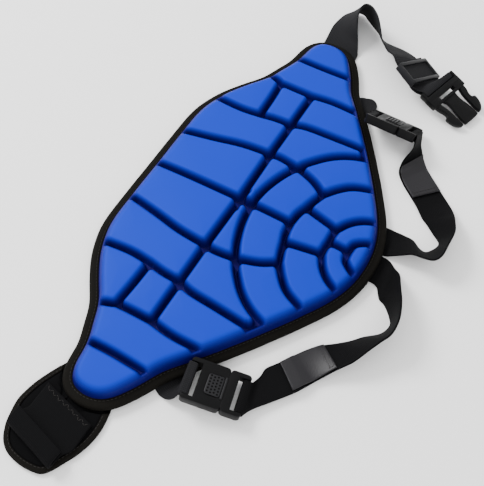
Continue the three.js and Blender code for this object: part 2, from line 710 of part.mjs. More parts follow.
function placement({ x, y, z, along, across }) {
  const yAxis = vec(...along).normalize();
  const zAxis = vec(...across).cross(yAxis).normalize();
  const xAxis = yAxis.clone().cross(zAxis);
  const at = vec(x * HALF, y * PAD_WIDTH, z).addScaledVector(zAxis, -BUCKLE_THICKNESS / 2);
  const matrix = new THREE.Matrix4().makeBasis(xAxis, yAxis, zAxis).setPosition(at);
  return { at, xAxis, yAxis, zAxis, matrix };
}

// The frame that a ribbon ends in at a bar: under it, heading into the buckle.
function barEnd(place, direction, thickness) {
  const { at, xAxis, yAxis, zAxis } = placement(place);
  const length = direction > 0 ? SOCKET_LENGTH : FRAME_LENGTH;
  const level = BUCKLE_THICKNESS / 2 - BAR_HEIGHT / 2 - BAR_CLEARANCE - thickness / 2;
  const point = at
    .clone()
    .addScaledVector(yAxis, direction * (length - BAR_LENGTH / 2))
    .addScaledVector(zAxis, level);
  const along = yAxis.clone().multiplyScalar(-direction);
  const across = xAxis.clone().multiplyScalar(-direction);
  return { at: point, along, across, up: zAxis };
}

// The short webbings that hold the buckles under the pad's side edges, in shares like the leg straps'.
const ATTACH_A = [
  { x: 0.723, y: -0.081, z: 0.034, across_x: -0.91, across_y: -0.42, across_z: 0 },
  { x: 0.733, y: -0.101, z: 0.034, across_x: -0.91, across_y: -0.42, across_z: 0 },
  { x: 0.742, y: -0.121, z: 0.034, across_x: -0.91, across_y: -0.42, across_z: 0 },
  { x: 0.747, y: -0.149, z: 0.093, across_x: -0.94, across_y: -0.3, across_z: 0.12 },
  { x: 0.724, y: -0.169, z: 0.243, across_x: -0.89, across_y: -0.16, across_z: 0.44 },
  { x: 0.688, y: -0.172, z: 0.411, across_x: -0.8, across_y: -0.02, across_z: 0.6 },
];
const ATTACH_B = [
  { x: -0.753, y: -0.064, z: 0.034, across_x: -0.91, across_y: 0.42, across_z: 0 },
  { x: -0.762, y: -0.081, z: 0.034, across_x: -0.91, across_y: 0.42, across_z: 0 },
  { x: -0.769, y: -0.096, z: 0.034, across_x: -0.91, across_y: 0.42, across_z: 0 },
  { x: -0.768, y: -0.116, z: 0.121, across_x: -0.98, across_y: 0.21, across_z: 0 },
  { x: -0.756, y: -0.125, z: 0.257, across_x: -0.99, across_y: -0.1, across_z: 0.05 },
];

function attachWebbing(rows, place) {
  const table = ribbonFrames(rows, LEG_SCALE, 14, LEG_WIDTH, LEG_THICKNESS);
  const frames = intoBar(table, barEnd(place, 1, LEG_THICKNESS), 5, LEG_WIDTH, LEG_THICKNESS);
  return sweep(roundBar(frames, BAR, LEG_THICKNESS, 3), LEG_WIDTH, LEG_THICKNESS);
}

// Waist webbing: x as a share of the half length, y of the pad width, z of the webbing width.
const WAIST_SCALE = { x: HALF, y: PAD_WIDTH, z: WAIST_WIDTH };
const WAIST_WEBBING = [
  { x: 0.955, y: 0.127, z: 0.025, across_x: 0, across_y: -1, across_z: 0 },
  { x: 0.991, y: 0.127, z: 0.025, across_x: 0, across_y: -1, across_z: 0 },
  { x: 1.018, y: 0.129, z: 0.032, across_x: -0.06, across_y: -1, across_z: 0 },
  { x: 1.05, y: 0.136, z: 0.079, across_x: -0.22, across_y: -0.97, across_z: 0.08 },
  { x: 1.088, y: 0.146, z: 0.132, across_x: -0.35, across_y: -0.92, across_z: 0.19 },
  { x: 1.135, y: 0.157, z: 0.284, across_x: -0.46, across_y: -0.74, across_z: 0.49 },
  { x: 1.181, y: 0.158, z: 0.395, across_x: -0.51, across_y: -0.54, across_z: 0.67 },
  { x: 1.222, y: 0.138, z: 0.466, across_x: -0.47, across_y: -0.36, across_z: 0.81 },
  { x: 1.226, y: 0.105, z: 0.471, across_x: -0.47, across_y: -0.31, across_z: 0.83 },
  { x: 1.204, y: 0.072, z: 0.461, across_x: -0.47, across_y: -0.31, across_z: 0.83 },
  { x: 1.172, y: 0.036, z: 0.447, across_x: -0.52, across_y: -0.26, across_z: 0.81 },
  { x: 1.131, y: -0.002, z: 0.411, across_x: -0.65, across_y: -0.23, across_z: 0.73 },
  { x: 1.079, y: -0.039, z: 0.403, across_x: -0.71, across_y: -0.18, across_z: 0.68 },
  { x: 1.038, y: -0.092, z: 0.395, across_x: -0.82, across_y: -0.07, across_z: 0.57 },
  { x: 1.018, y: -0.16, z: 0.437, across_x: -0.84, across_y: 0.07, across_z: 0.54 },
  { x: 0.993, y: -0.25, z: 0.532, across_x: -0.87, across_y: 0.11, across_z: 0.48 },
  { x: 1.01, y: -0.294, z: 0.437, across_x: -0.9, across_y: 0.21, across_z: 0.39 },
  { x: 1.038, y: -0.336, z: 0.213, across_x: -0.94, across_y: 0.28, across_z: 0.18 },
];
const WAIST_STATIONS = 60;
const PLUG_PLACE = { x: 1.007, y: -0.412, z: 6.9, along: [0.4, 0.91, 0.02], across: [0.93, -0.38, -0.12] };
const PLUG_BODY_LENGTH = 19;
const PLUG_WIDTH = WAIST_WIDTH + 2 * (CLEARANCE + PLASTIC_WALL) + 0.6;
const PLUG_SLOT = WAIST_WIDTH + 2 * CLEARANCE + 0.6;
const PLUG_THICKNESS = 7;
const PRONG_LENGTH = 36;
const PRONG_WIDTH = 6.5;
const GUIDE_WIDTH = 7;
const GLIDE_WIDTH = PLUG_WIDTH;
const GLIDE_LENGTH = 25;
const GLIDE_BAR = 3.6;
const GLIDE_BAR_HEIGHT = 1.8;
const GLIDE_CLEARANCE = 0.5;

function sideReleasePlug() {
  const middle = PLUG_THICKNESS / 2;
  const body = plate(roundedRect(PLUG_WIDTH, PLUG_BODY_LENGTH, 3, 0, PLUG_BODY_LENGTH / 2), 0, PLUG_THICKNESS);
  const half = PLUG_SLOT / 2;
  const barIn = PLUG_BODY_LENGTH - BAR_LENGTH;
  const slot = block(-half, half, barIn - SLOT_LENGTH, barIn, -1, PLUG_THICKNESS + 1);
  const top = block(-half, half, barIn, PLUG_BODY_LENGTH + 1, middle + BAR_HEIGHT / 2, PLUG_THICKNESS + 1);
  const low = block(-half, half, barIn, PLUG_BODY_LENGTH + 1, -1, middle - BAR_HEIGHT / 2);
  const outer = PLUG_WIDTH / 2 - 1.5;
  const prong = (side) => {
    const inner = outer - PRONG_WIDTH;
    const outline = [
      [side * inner, 1],
      [side * (outer - 1), 1],
      [side * (outer - 1.5), -PRONG_LENGTH * 0.45],
      [side * (outer + 1.5), -PRONG_LENGTH * 0.6],
      [side * (outer + 1), -PRONG_LENGTH * 0.85],
      [side * (outer - 3), -PRONG_LENGTH],
      [side * (inner - 1), -PRONG_LENGTH + 1],
      [side * (inner - 0.5), -PRONG_LENGTH * 0.6],
    ];
    return plate(side > 0 ? outline.reverse() : outline, middle - 2.2, middle + 2.2);
  };
  const guide = plate(roundedRect(GUIDE_WIDTH, PRONG_LENGTH + 2, 3, 0, -PRONG_LENGTH / 2 + 1), middle - 1.6, middle + 1.6);
  return geometryOf(join([body, prong(1), prong(-1), guide]).subtract(slot).subtract(top).subtract(low));
}

// A frame round both layers of the webbing: the middle bar lies under them and the two end bars over them.
function triGlide() {
  const under = -WAIST_THICKNESS / 2 - GLIDE_CLEARANCE;
  const over = 1.5 * WAIST_THICKNESS + LAYER_GAP + GLIDE_CLEARANCE;
  const low = under - GLIDE_BAR_HEIGHT;
  const high = over + GLIDE_BAR_HEIGHT;
  const half = PLUG_SLOT / 2;
  const end = GLIDE_LENGTH / 2;
  const body = plate(roundedRect(GLIDE_WIDTH, GLIDE_LENGTH, 3), low, high);
  const channel = block(-half, half, -end - 1, end + 1, under, over);
  const opening = block(-half, half, GLIDE_BAR - end, end - GLIDE_BAR, over - 1, high + 1);
  const hollow = [1, -1].map((side) => {
    const [y0, y1] = [(side * GLIDE_BAR) / 2, side * (end + 1)].sort((a, b) => a - b);
    return block(-half, half, y0, y1, low - 1, under + 1);
  });
  return geometryOf([channel, opening, ...hollow].reduce((rest, cut) => rest.subtract(cut), body));
}

// The webbing goes through the glide, round the plug's bar and back through the glide to a short free end.
const GLIDE_FROM_END = 27;

function straightened(frames, seat) {
  const first = spanOf(frames, seat, GLIDE_LENGTH * 0.55);
  let last = seat;
  while (frames[last].at.distanceTo(frames[seat].at) < GLIDE_LENGTH * 0.55) last += 1;
  const across = frames[seat].across;
  const along = frames[last].at.clone().sub(frames[first].at).normalize();
  const level = across.clone().addScaledVector(along, -across.dot(along)).normalize();
  return frames.map((frame, i) => {
    if (i < first || i > last) return frame;
    const at = frames[first].at.clone().lerp(frames[last].at, (i - first) / (last - first));
    const up = level.clone().cross(along).normalize();
    return grounded({ at, along, across: level, up }, WAIST_WIDTH, WAIST_THICKNESS);
  });
}

function waistPieces() {
  const place = placement(PLUG_PLACE);
  const level = PLUG_THICKNESS / 2 - BAR_HEIGHT / 2 - BAR_CLEARANCE - WAIST_THICKNESS / 2;
  const bar = place.yAxis.clone().multiplyScalar(PLUG_BODY_LENGTH - BAR_LENGTH / 2);
  const target = {
    at: place.at.clone().add(bar).addScaledVector(place.zAxis, level),
    along: place.yAxis.clone().negate(),
    across: place.xAxis.clone().negate(),
    up: place.zAxis,
  };
  const table = ribbonFrames(WAIST_WEBBING, WAIST_SCALE, WAIST_STATIONS, WAIST_WIDTH, WAIST_THICKNESS);
  const led = intoBar(table, target, 6, WAIST_WIDTH, WAIST_THICKNESS);
  const end = led.length - 1;
  const seat = spanOf(led, end, GLIDE_FROM_END);
  const frames = straightened(led, seat);
  const tail = end - spanOf(frames, seat, GLIDE_LENGTH / 2 + 9);
  const webbing = sweep(roundBar(frames, BAR, WAIST_THICKNESS, tail), WAIST_WIDTH, WAIST_THICKNESS);
  return { webbing, glideAt: frames[seat] };
}

// Flap and band

// The flap's outer edge as shares of its length and width, round from under the pad's tip.
const FLAP_PLACE = { x: -1.078, y: 0.182 };
const FLAP_OUTLINE = [
  { along: 0.505, across: 0.28 },
  { along: 0.388, across: 0.356 },
  { along: 0.217, across: 0.441 },
  { along: 0.072, across: 0.486 },
  { along: -0.04, across: 0.499 },
  { along: -0.176, across: 0.47 },
  { along: -0.276, across: 0.434 },
  { along: -0.391, across: 0.352 },
  { along: -0.467, across: 0.23 },
  { along: -0.5, across: 0.058 },
  { along: -0.5, across: -0.09 },
  { along: -0.484, across: -0.2 },
  { along: -0.45, across: -0.262 },
  { along: -0.39, across: -0.313 },
  { along: -0.284, across: -0.377 },
  { along: -0.174, across: -0.439 },
  { along: -0.045, across: -0.483 },
  { along: 0.08, across: -0.499 },
  { along: 0.205, across: -0.485 },
  { along: 0.349, across: -0.44 },
  { along: 0.444, across: -0.345 },
  { along: 0.51, across: -0.106 },
  { along: 0.53, across: 0.106 },
];
const FLAP_STATIONS = 44;
const FLAP_TAPE = 0.9;

function flapOutline() {
  const points = FLAP_OUTLINE.map(({ along, across }) =>
    vec(FLAP_PLACE.x * HALF + along * FLAP_LENGTH, FLAP_PLACE.y * PAD_WIDTH + across * FLAP_WIDTH, 0),
  );
  return new THREE.CatmullRomCurve3(points, true, "centripetal");
}

// The room that the pad's own edge takes up above the flap.
function padRoom() {
  const field = TAPE_COVER + 2.0 - CLEARANCE;
  return solid(
    loft([
      insetRing(OUTLINE, field, -1),
      insetRing(OUTLINE, field, LIFT - CLEARANCE),
      insetRing(OUTLINE, -CLEARANCE, LIFT - CLEARANCE),
      insetRing(OUTLINE, -CLEARANCE, LIFT + 20),
    ]),
  );
}

function flapPanel() {
  const outline = flapOutline();
  const inside = FLAP_TAPE + CLEARANCE;
  const ring = (inset, z) => insetRing(outline, inset, z, FLAP_STATIONS);
  const body = loft([
    ring(FLAP_TAPE_COVER + 1.5, 0),
    ring(FLAP_TAPE_COVER + 1.5, inside),
    ring(inside, inside),
    ring(inside, FLAP_THICKNESS - inside),
    ring(FLAP_TAPE_COVER + CLEARANCE, FLAP_THICKNESS - inside),
    ring(FLAP_TAPE_COVER + 2.5, FLAP_THICKNESS),
  ]);
  return geometryOf(solid(body).subtract(padRoom()));
}

function flapBinding() {
  const outline = flapOutline();
  const section = [
    [FLAP_TAPE_COVER, 0],
    [0.8, 0],
    [0, 1],
    [0, FLAP_THICKNESS - 1],
    [0.8, FLAP_THICKNESS],
    [FLAP_TAPE_COVER, FLAP_THICKNESS],
    [FLAP_TAPE_COVER, FLAP_THICKNESS - FLAP_TAPE],
    [FLAP_TAPE, FLAP_THICKNESS - FLAP_TAPE],
    [FLAP_TAPE, FLAP_TAPE],
    [FLAP_TAPE_COVER, FLAP_TAPE],
  ];
  const lanes = section.map(([inset, z]) => insetRing(outline, inset, z, FLAP_STATIONS));
  const rings = lanes[0].map((_, i) => lanes.map((lane) => lane[i]));
  return geometryOf(solid(loft(rings.reverse(), { closed: true })).subtract(padRoom()));
}

// The band's rows: x as a share of the half length, y of the pad width, z of the flap's thickness.
const BAND_SCALE = { x: HALF, y: PAD_WIDTH, z: FLAP_THICKNESS };
const BAND_ROWS = [
  { x: -1.016, y: 0.168, z: 1.42, across_x: 0.231, across_y: 0.973, across_z: 0 },
  { x: -1.09, y: 0.17, z: 1.42, across_x: 0.231, across_y: 0.973, across_z: 0 },
  { x: -1.17, y: 0.172, z: 1.42, across_x: 0.24, across_y: 0.97, across_z: 0 },
  { x: -1.22, y: 0.173, z: 1.46, across_x: 0.25, across_y: 0.968, across_z: 0 },
  { x: -1.238, y: 0.174, z: 1.7, across_x: 0.255, across_y: 0.967, across_z: 0 },
  { x: -1.247, y: 0.174, z: 2.2, across_x: 0.26, across_y: 0.965, across_z: 0 },
  { x: -1.236, y: 0.174, z: 2.75, across_x: 0.26, across_y: 0.965, across_z: 0 },
  { x: -1.22, y: 0.172, z: 2.95, across_x: 0.26, across_y: 0.965, across_z: 0 },
  { x: -1.185, y: 0.169, z: 2.9, across_x: 0.26, across_y: 0.965, across_z: 0 },
];

function flapBand() {
  return sweep(ribbonFrames(BAND_ROWS, BAND_SCALE, 28, BAND_WIDTH, BAND_THICKNESS), BAND_WIDTH, BAND_THICKNESS);
}

// The assembly

const part = new THREE.Group();

function add(parent, name, geometry, material) {
  const mesh = new THREE.Mesh(geometry, material);
  mesh.name = name;
  parent.add(mesh);
  return mesh;
}

add(part, "padded_panel", paddedPanel(), BLUE_FABRIC);
add(part, "back_panel", backPanel(), BACK_FABRIC);
add(part, "edge_binding", edgeBinding(), EDGE_TAPE);
add(part, "flap", flapPanel(), BACK_FABRIC);
add(part, "flap_binding", flapBinding(), EDGE_TAPE);
add(part, "flap_band", flapBand(), ELASTIC);

const waist = waistPieces();
add(part, "waist_webbing", waist.webbing, WEBBING);

const glide = new THREE.Group();
glide.matrix
  .makeBasis(waist.glideAt.across, waist.glideAt.along, waist.glideAt.up)
  .setPosition(waist.glideAt.at);
glide.matrixAutoUpdate = false;
add(glide, "tri_glide", triGlide(), GREY_PLASTIC);

const plug = new THREE.Group();
plug.matrix.copy(placement(PLUG_PLACE).matrix);
plug.matrixAutoUpdate = false;
add(plug, "side_release_plug", sideReleasePlug(), PLASTIC);
part.add(plug);

const LEG_STRAPS = {
  a: { rows: LEG_STRAP_A, held: ATTACH_A, doubled: 34 },
  b: { rows: LEG_STRAP_B, held: ATTACH_B, doubled: 50 },
};
for (const [key, { rows, held, doubled }] of Object.entries(LEG_STRAPS)) {
  const place = BUCKLE_PLACES[key];
  const { strap, tab } = legStrap(rows, barEnd(place, -1, LEG_THICKNESS), doubled);
  add(part, `leg_strap_${key}`, strap, ELASTIC);
  add(part, `hook_tab_${key}`, tab, HOOK_TAPE);
  add(part, `attach_webbing_${key}`, attachWebbing(held, place), WEBBING);
  const buckle = new THREE.Group();
  buckle.matrix.copy(placement(place).matrix);
  buckle.matrixAutoUpdate = false;
  add(buckle, `buckle_socket_${key}`, buckleSocket(), PLASTIC);
  add(buckle, `buckle_frame_${key}`, buckleFrame(), PLASTIC);
  add(buckle, `press_pad_${key}`, pressPad(), GREY_PLASTIC);
  part.add(buckle);
}
part.add(glide);

// The origin is the middle of the whole part's footprint, on the surface it lies on.
part.updateMatrixWorld(true);
const extent = new THREE.Box3().setFromObject(part, true);
const middle = extent.getCenter(vec(0, 0, 0));
part.position.set(-middle.x, -middle.y, -extent.min.z);

export default part;
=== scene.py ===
# %% [markdown]
# # A tailbone protector, lying face up
#
# The object is a foam pad shaped like a blunt boomerang. It has a bound edge, a small flap at one tip, a
# waist webbing with half a buckle at the other, and two elastic leg straps in press buckles at its nose.
# The CAD model gives every piece its place. This script makes them look like foam, cloth and plastic, and
# keeps each close to where the CAD has it, so that one set of bodies serves both.

import math

import bmesh
import bpy
import numpy as np
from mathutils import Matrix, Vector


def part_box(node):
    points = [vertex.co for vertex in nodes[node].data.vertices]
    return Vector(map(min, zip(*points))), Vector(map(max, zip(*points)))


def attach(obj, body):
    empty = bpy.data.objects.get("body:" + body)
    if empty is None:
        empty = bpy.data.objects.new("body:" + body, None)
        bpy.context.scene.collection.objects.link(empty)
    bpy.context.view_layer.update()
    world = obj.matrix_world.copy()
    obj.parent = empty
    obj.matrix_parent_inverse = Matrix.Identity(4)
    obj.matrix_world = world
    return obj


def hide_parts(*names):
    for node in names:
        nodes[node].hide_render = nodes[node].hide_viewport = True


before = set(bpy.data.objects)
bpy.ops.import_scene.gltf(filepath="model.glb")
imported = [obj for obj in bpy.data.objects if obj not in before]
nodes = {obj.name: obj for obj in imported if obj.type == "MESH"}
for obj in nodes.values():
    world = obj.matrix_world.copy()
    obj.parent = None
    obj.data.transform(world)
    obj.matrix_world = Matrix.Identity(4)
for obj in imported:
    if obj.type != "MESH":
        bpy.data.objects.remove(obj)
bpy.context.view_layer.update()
MM = 0.001

# %% [markdown]
# ## Measuring the CAD pieces
#
# Each strap of the CAD model is a row of four-cornered rings with a hub at each end. Typed in again, the
# rings would drift apart from the CAD. So they are found by walking over the mesh from one hub, a ring at
# each step, and the fine pieces follow exactly the same run.

# %% Read points back from a CAD piece


def points_of(mesh):
    """A mesh's points, one to a row, and the number of the point at every corner of its faces."""
    points = np.empty(len(mesh.vertices) * 3)
    mesh.vertices.foreach_get("co", points)
    order = np.empty(len(mesh.loops), dtype=int)
    mesh.loops.foreach_get("vertex_index", order)
    return points.reshape(-1, 3), order


def merged(node):
    """A CAD piece's separate corners, and for every triangle the numbers of its three corners."""
    points, order = points_of(nodes[node].data)
    microns = np.round(points[order] * 1e6)
    corners, number = np.unique(microns, axis=0, return_inverse=True)
    return corners / 1e6, number.reshape(-1, 3)


PAD_MIDDLE = (0.0, 0.02)


def rings_of(node):
    """The rings of a strap from its end nearest to the pad's middle, each as its section's corners in one
    order. A hub is a point with four triangles."""
    points, triangles = merged(node)
    hubs = np.flatnonzero(np.bincount(triangles.ravel()) == 4)
    hub = hubs[np.argmin(np.linalg.norm(points[hubs, :2] - PAD_MIDDLE, axis=1))]
    edges = np.concatenate([triangles[:, [0, 1]], triangles[:, [1, 2]], triangles[:, [2, 0]]])
    seen = np.zeros(len(points), dtype=bool)
    seen[hub] = True
    ring = np.array([hub])
    rings = []
    while True:
        ring = np.unique(edges[np.isin(edges[:, 0], ring), 1])
        ring = ring[~seen[ring]]
        if len(ring) != 4:
            break
        seen[ring] = True
        rings.append(points[ring])
    return lined_up(rings)


def lined_up(rings):
    """The same rings with their corners matched from one to the next: of the eight ways round a ring, the one
    nearest to the ring before. The first is set out as low left, high left, high right and low right."""
    first = rings[0] - rings[0].mean(axis=0)
    partner = np.argmin(np.linalg.norm(first - first[0], axis=1) + 1e3 * (np.arange(4) == 0))
    rest = [k for k in range(1, 4) if k != partner]
    beside = rest[np.argmin([np.linalg.norm(first[k] - first[partner]) for k in rest])]
    last = [k for k in rest if k != beside][0]
    order = [0, partner, beside, last]
    short, long = (np.linalg.norm(first[order[k]] - first[order[k + 1]]) for k in (0, 1))
    if long < short:
        order = order[1:] + order[:1]
    done = [rings[0][order]]
    ways = [np.roll(way, k) for way in (np.arange(4), np.arange(4)[::-1]) for k in range(4)]
    for ring in rings[1:]:
        shape = done[-1] - done[-1].mean(axis=0)
        centred = ring - ring.mean(axis=0)
        square = round_order(centred)
        best = min(ways, key=lambda way: np.linalg.norm(centred[square][way] - shape))
        done.append(ring[square][best])
    return np.stack(done)


def round_order(corners):
    """Four corners in order round their middle: one, its two neighbours on each side of the far corner."""
    far = np.argmax(np.linalg.norm(corners - corners[0], axis=1))
    sides = [k for k in range(1, 4) if k != far]
    return np.array([0, sides[0], far, sides[1]])


print("leg strap A has", len(rings_of("leg_strap_a")), "rings")

# %% [markdown]
# ## Smooth lines and meshes from arrays
#
# Two small tools do most of the work: one draws a finer line through the CAD stations, the other makes a
# mesh from a grid of points. Curve objects with a bevel could give the same shapes, but a grid keeps the
# twist, the section and the cloth coordinates in hand from end to end.

# %% Line and mesh tools


def finer(rows, steps):
    """A smooth line through the rows, `steps` times as dense: each span is the cubic that leaves and arrives
    along the line between its neighbours."""
    before = np.concatenate([2 * rows[:1] - rows[1:2], rows[:-2]])
    here, there = rows[:-1], rows[1:]
    after = np.concatenate([rows[2:], 2 * rows[-1:] - rows[-2:-1]])
    t = (np.arange(steps) / steps).reshape((1, steps) + (1,) * (rows.ndim - 1))
    before, here, there, after = (a[:, None] for a in (before, here, there, after))
    bend = 2 * before - 5 * here + 4 * there - after
    twist = 3 * (here - there) + after - before
    line = here + 0.5 * t * (there - before + t * (bend + t * twist))
    return np.concatenate([line.reshape((-1,) + rows.shape[1:]), rows[-1:]])


def finer_loop(loop, count):
    """A closed flat line through evenly spaced points: the sum of the loop's own slow waves, read at `count`
    points."""
    waves = np.fft.fft(loop[:, 0] + 1j * loop[:, 1])
    half = len(loop) // 2
    spread = np.zeros(count, complex)
    spread[:half] = waves[:half]
    spread[-half:] = waves[-half:]
    line = np.fft.ifft(spread) * count / len(loop)
    return np.stack([line.real, line.imag], axis=1)


def unit(vectors):
    """Vectors at length one."""
    return vectors / np.linalg.norm(vectors, axis=-1, keepdims=True)


def read_at(at, run, rows):
    """Each column of the rows read between stations: `run` is where the rows stand, `at` where to read."""
    return np.stack([np.interp(at, run, column) for column in rows.T], axis=1)


def run_of(places):
    """The length of a line of places up to each of them."""
    return np.concatenate([[0], np.cumsum(np.linalg.norm(np.diff(places, axis=0), axis=1))])


def eased(share):
    """A share from 0 to 1 that starts and ends softly: three of its squares less two of its cubes."""
    return share * share * (3 - 2 * share)


def make_piece(name, points, faces, material, uv=None, shade=None):
    """A mesh object with the given points and faces, smooth, riding on the one body. `uv` is a pair for every
    point in metres, and `shade` a number from 0 to 1 for every point."""
    mesh = bpy.data.meshes.new(name)
    mesh.from_pydata(np.asarray(points).tolist(), [], [list(map(int, f)) for f in faces])
    order = points_of(mesh)[1]
    if uv is not None:
        layer = mesh.uv_layers.new(name="cloth")
        layer.data.foreach_set("uv", np.asarray(uv)[order].ravel())
    if shade is not None:
        attribute = mesh.attributes.new("shade", "FLOAT", "POINT")
        attribute.data.foreach_set("value", np.asarray(shade, dtype=float))
    mesh.polygons.foreach_set("use_smooth", np.ones(len(mesh.polygons), dtype=bool))
    mesh.materials.append(material)
    piece = bpy.data.objects.new(name, mesh)
    bpy.context.scene.collection.objects.link(piece)
    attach(piece, "root")
    return piece


def grid_faces(rows, columns, close_rows=False, close_columns=False):
    """Four-sided faces of a grid of rows and columns of points; closing joins the last to the first."""
    row = np.arange(rows if close_rows else rows - 1)[:, None] * columns
    column = np.arange(columns if close_columns else columns - 1)[None, :]
    next_row = (row + columns) % (rows * columns)
    beside = (column + 1) % columns
    corners = [row + column, row + beside, next_row + beside, next_row + column]
    return np.stack([a.ravel() for a in np.broadcast_arrays(*corners)], axis=1)


def outwards(piece):
    """Turns every face of a closed piece to the outside."""
    shape = bmesh.new()
    shape.from_mesh(piece.data)
    bmesh.ops.recalc_face_normals(shape, faces=shape.faces)
    shape.to_mesh(piece.data)
    shape.free()
    return piece


# %% [markdown]
# ## Cloth and plastic
#
# The face is a smooth knit laminated to foam, the edge tape and straps are woven, and the buckles are moulded
# nylon. A picture of cloth could be laid over each piece. Here every pattern is worked out from the piece's
# own coordinates instead, which stays sharp at any distance and has no seam. The colours are chosen one by
# one.

# %% Material tools


def screen(r, g, b):
    """A colour as it looks on a screen, from 0 to 255, turned into the light it stands for."""
    c = np.array([r, g, b]) / 255
    return (*np.where(c <= 0.04045, c / 12.92, ((c + 0.055) / 1.055) ** 2.4), 1)


def new_material(name, colour, roughness, specular):
    """A plain material; its name says what it is."""
    material = bpy.data.materials.new(name)
    material.use_nodes = True
    surface = material.node_tree.nodes["Principled BSDF"]
    surface.inputs["Base Color"].default_value = colour
    surface.inputs["Roughness"].default_value = roughness
    surface.inputs["Specular IOR Level"].default_value = specular
    return material


def add_node(material, kind, inputs=None, **settings):
    """A node in a material, with its settings and its inputs, each a value or another node's output."""
    node = material.node_tree.nodes.new(kind)
    for key, value in settings.items():
        setattr(node, key, value)
    for key, value in (inputs or {}).items():
        if isinstance(value, bpy.types.NodeSocket):
            material.node_tree.links.new(value, node.inputs[key])
        else:
            node.inputs[key].default_value = value
    return node


def link_surface(material, key, output):
    """Joins an output to an input of the material's surface."""
    surface = material.node_tree.nodes["Principled BSDF"]
    material.node_tree.links.new(output, surface.inputs[key])


def math_node(material, operation, *values):
    """The result of a sum on one, two or three values."""
    node = add_node(material, "ShaderNodeMath", dict(enumerate(values)), operation=operation)
    return node.outputs[0]


def add_relief(material, height, depth):
    """Makes a height from 0 to 1 stand `depth` metres proud as a bump."""
    bump = add_node(material, "ShaderNodeBump", {"Height": height, "Distance": depth, "Strength": 1.0})
    link_surface(material, "Normal", bump.outputs[0])


def mixed_colour(material, share, first, second):
    """Sets the surface colour to a blend of two colours by a share from 0 to 1."""
    ramp = add_node(material, "ShaderNodeMix", {"Factor": share}, data_type="RGBA")
    ramp.inputs[6].default_value = first
    ramp.inputs[7].default_value = second
    link_surface(material, "Base Color", ramp.outputs[2])


def noise(material, scale):
    """Soft blotches on the piece's own coordinates, `scale` to the metre."""
    place = add_node(material, "ShaderNodeTexCoord").outputs["Object"]
    settings = {"Vector": place, "Scale": scale, "Detail": 2.0}
    return add_node(material, "ShaderNodeTexNoise", settings).outputs[0]


def wave_along(material, axis, pitch):
    """A wave from 0 to 1 along the run (axis 0) or across it (axis 1) of a woven piece, one crest every
    `pitch` metres: half of one plus the sine of the distance over the pitch."""
    place = add_node(material, "ShaderNodeTexCoord").outputs["UV"]
    split = add_node(material, "ShaderNodeSeparateXYZ", {0: place}).outputs[axis]
    turn = math_node(material, "MULTIPLY", split, 2 * math.pi / pitch)
    return math_node(material, "MULTIPLY_ADD", math_node(material, "SINE", turn), 0.5, 0.5)


def woven(name, colour, light, along, across, depth):
    """A woven cloth: bars every `along` metres of its run times ribs every `across` metres of its width."""
    material = new_material(name, colour, 0.8, specular=0.07)
    bars = wave_along(material, 0, along)
    ribs = wave_along(material, 1, across)
    weave = math_node(material, "MULTIPLY", bars, ribs)
    # The lighter colour follows the crests of the weave, in soft blotches.
    crest_blotches = math_node(material, "MULTIPLY", weave, noise(material, 900.0))
    mixed_colour(material, crest_blotches, colour, light)
    add_relief(material, weave, depth)
    return material


def grained(name, colour, roughness, specular, scale, depth):
    """A plain material with a fine grain that stands `depth` metres proud."""
    material = new_material(name, colour, roughness, specular)
    add_relief(material, noise(material, scale), depth)
    return material


def knit_face(blue, navy):
    """The face's cloth: blue on the cells, navy painted shade in the grooves and up the walls, and a fine
    knit grain.
    """
    material = new_material("blue_knit_face", blue, 0.5, specular=0.07)
    shade = add_node(material, "ShaderNodeAttribute", attribute_name="shade").outputs["Fac"]
    mixed_colour(material, shade, navy, blue)
    add_relief(material, noise(material, 2600.0), 0.00006)
    return material


print("mid grey is", screen(128, 128, 128)[0], "of full light")

# %% [markdown]
# ### One material for each cloth and plastic
#
# A colour under studio light comes out lighter than its base, so the bases are darker than they look in the
# photo. Black cloth hardly shines, and bumps of a tenth of a millimetre are enough for the grain.

# %% Materials

# The navy is painted shade, for the grooves and the cells' walls.
blue_face = knit_face(screen(8, 44, 172), screen(14, 0, 78))
black_back = grained("black_back_fabric", screen(8, 8, 9), 0.9, 0.05, 2000.0, 0.0002)
brown_tape = woven("bound_edge_tape", screen(11, 10, 8), screen(30, 27, 23), 0.0011, 0.0009, 0.00012)
grey_webbing = woven("waist_webbing_weave", screen(22, 22, 24), screen(48, 48, 50), 0.0012, 0.0016, 0.0001)
black_elastic = woven("black_elastic_ribs", screen(5, 5, 6), screen(17, 17, 19), 0.0012, 0.0014, 0.00012)
hook_grey = grained("hook_tape_grey", screen(26, 25, 28), 0.36, 0.22, 1400.0, 0.0002)
thread = new_material("sewing_thread", screen(38, 36, 35), 0.7, specular=0.2)
dark_plastic = grained("dark_moulded_plastic", screen(9, 9, 10), 0.45, 0.1, 1200.0, 0.00003)
grey_plastic = grained("grey_moulded_plastic", screen(26, 26, 28), 0.42, 0.15, 1200.0, 0.00003)
dot_black = new_material("grip_dot_black", screen(4, 4, 4), 0.7, specular=0.05)
print("materials", [m.name for m in bpy.data.materials])

# %% [markdown]
# ## The pad's outline
#
# The edge tape, the rim of the cells and the field of the back all follow one outline: the outermost lane
# of the CAD binding, found by its height. Its corners are put in order by their bearing from the pad's
# middle, and everything else is this line moved inwards.

# %% Read the outline

HALF_LENGTH = 221 * MM
PAD_WIDTH = 228 * MM
TAPE_COVER = 8.5 * MM
RIM_INSET = 9.1 * MM
OUTER_LANE_HEIGHT = 3.6 * MM
pad_centre = np.array([1.3125, 22.6684]) * MM


def bearings(places, middle):
    """The compass angle of each place from a middle."""
    return np.arctan2(*(places - middle).T[::-1])


tape_corners = merged("edge_binding")[0]
outermost = tape_corners[np.abs(tape_corners[:, 2] - OUTER_LANE_HEIGHT) < 0.02 * MM][:, :2]
outline = finer_loop(outermost[np.argsort(bearings(outermost, pad_centre))], 1080)


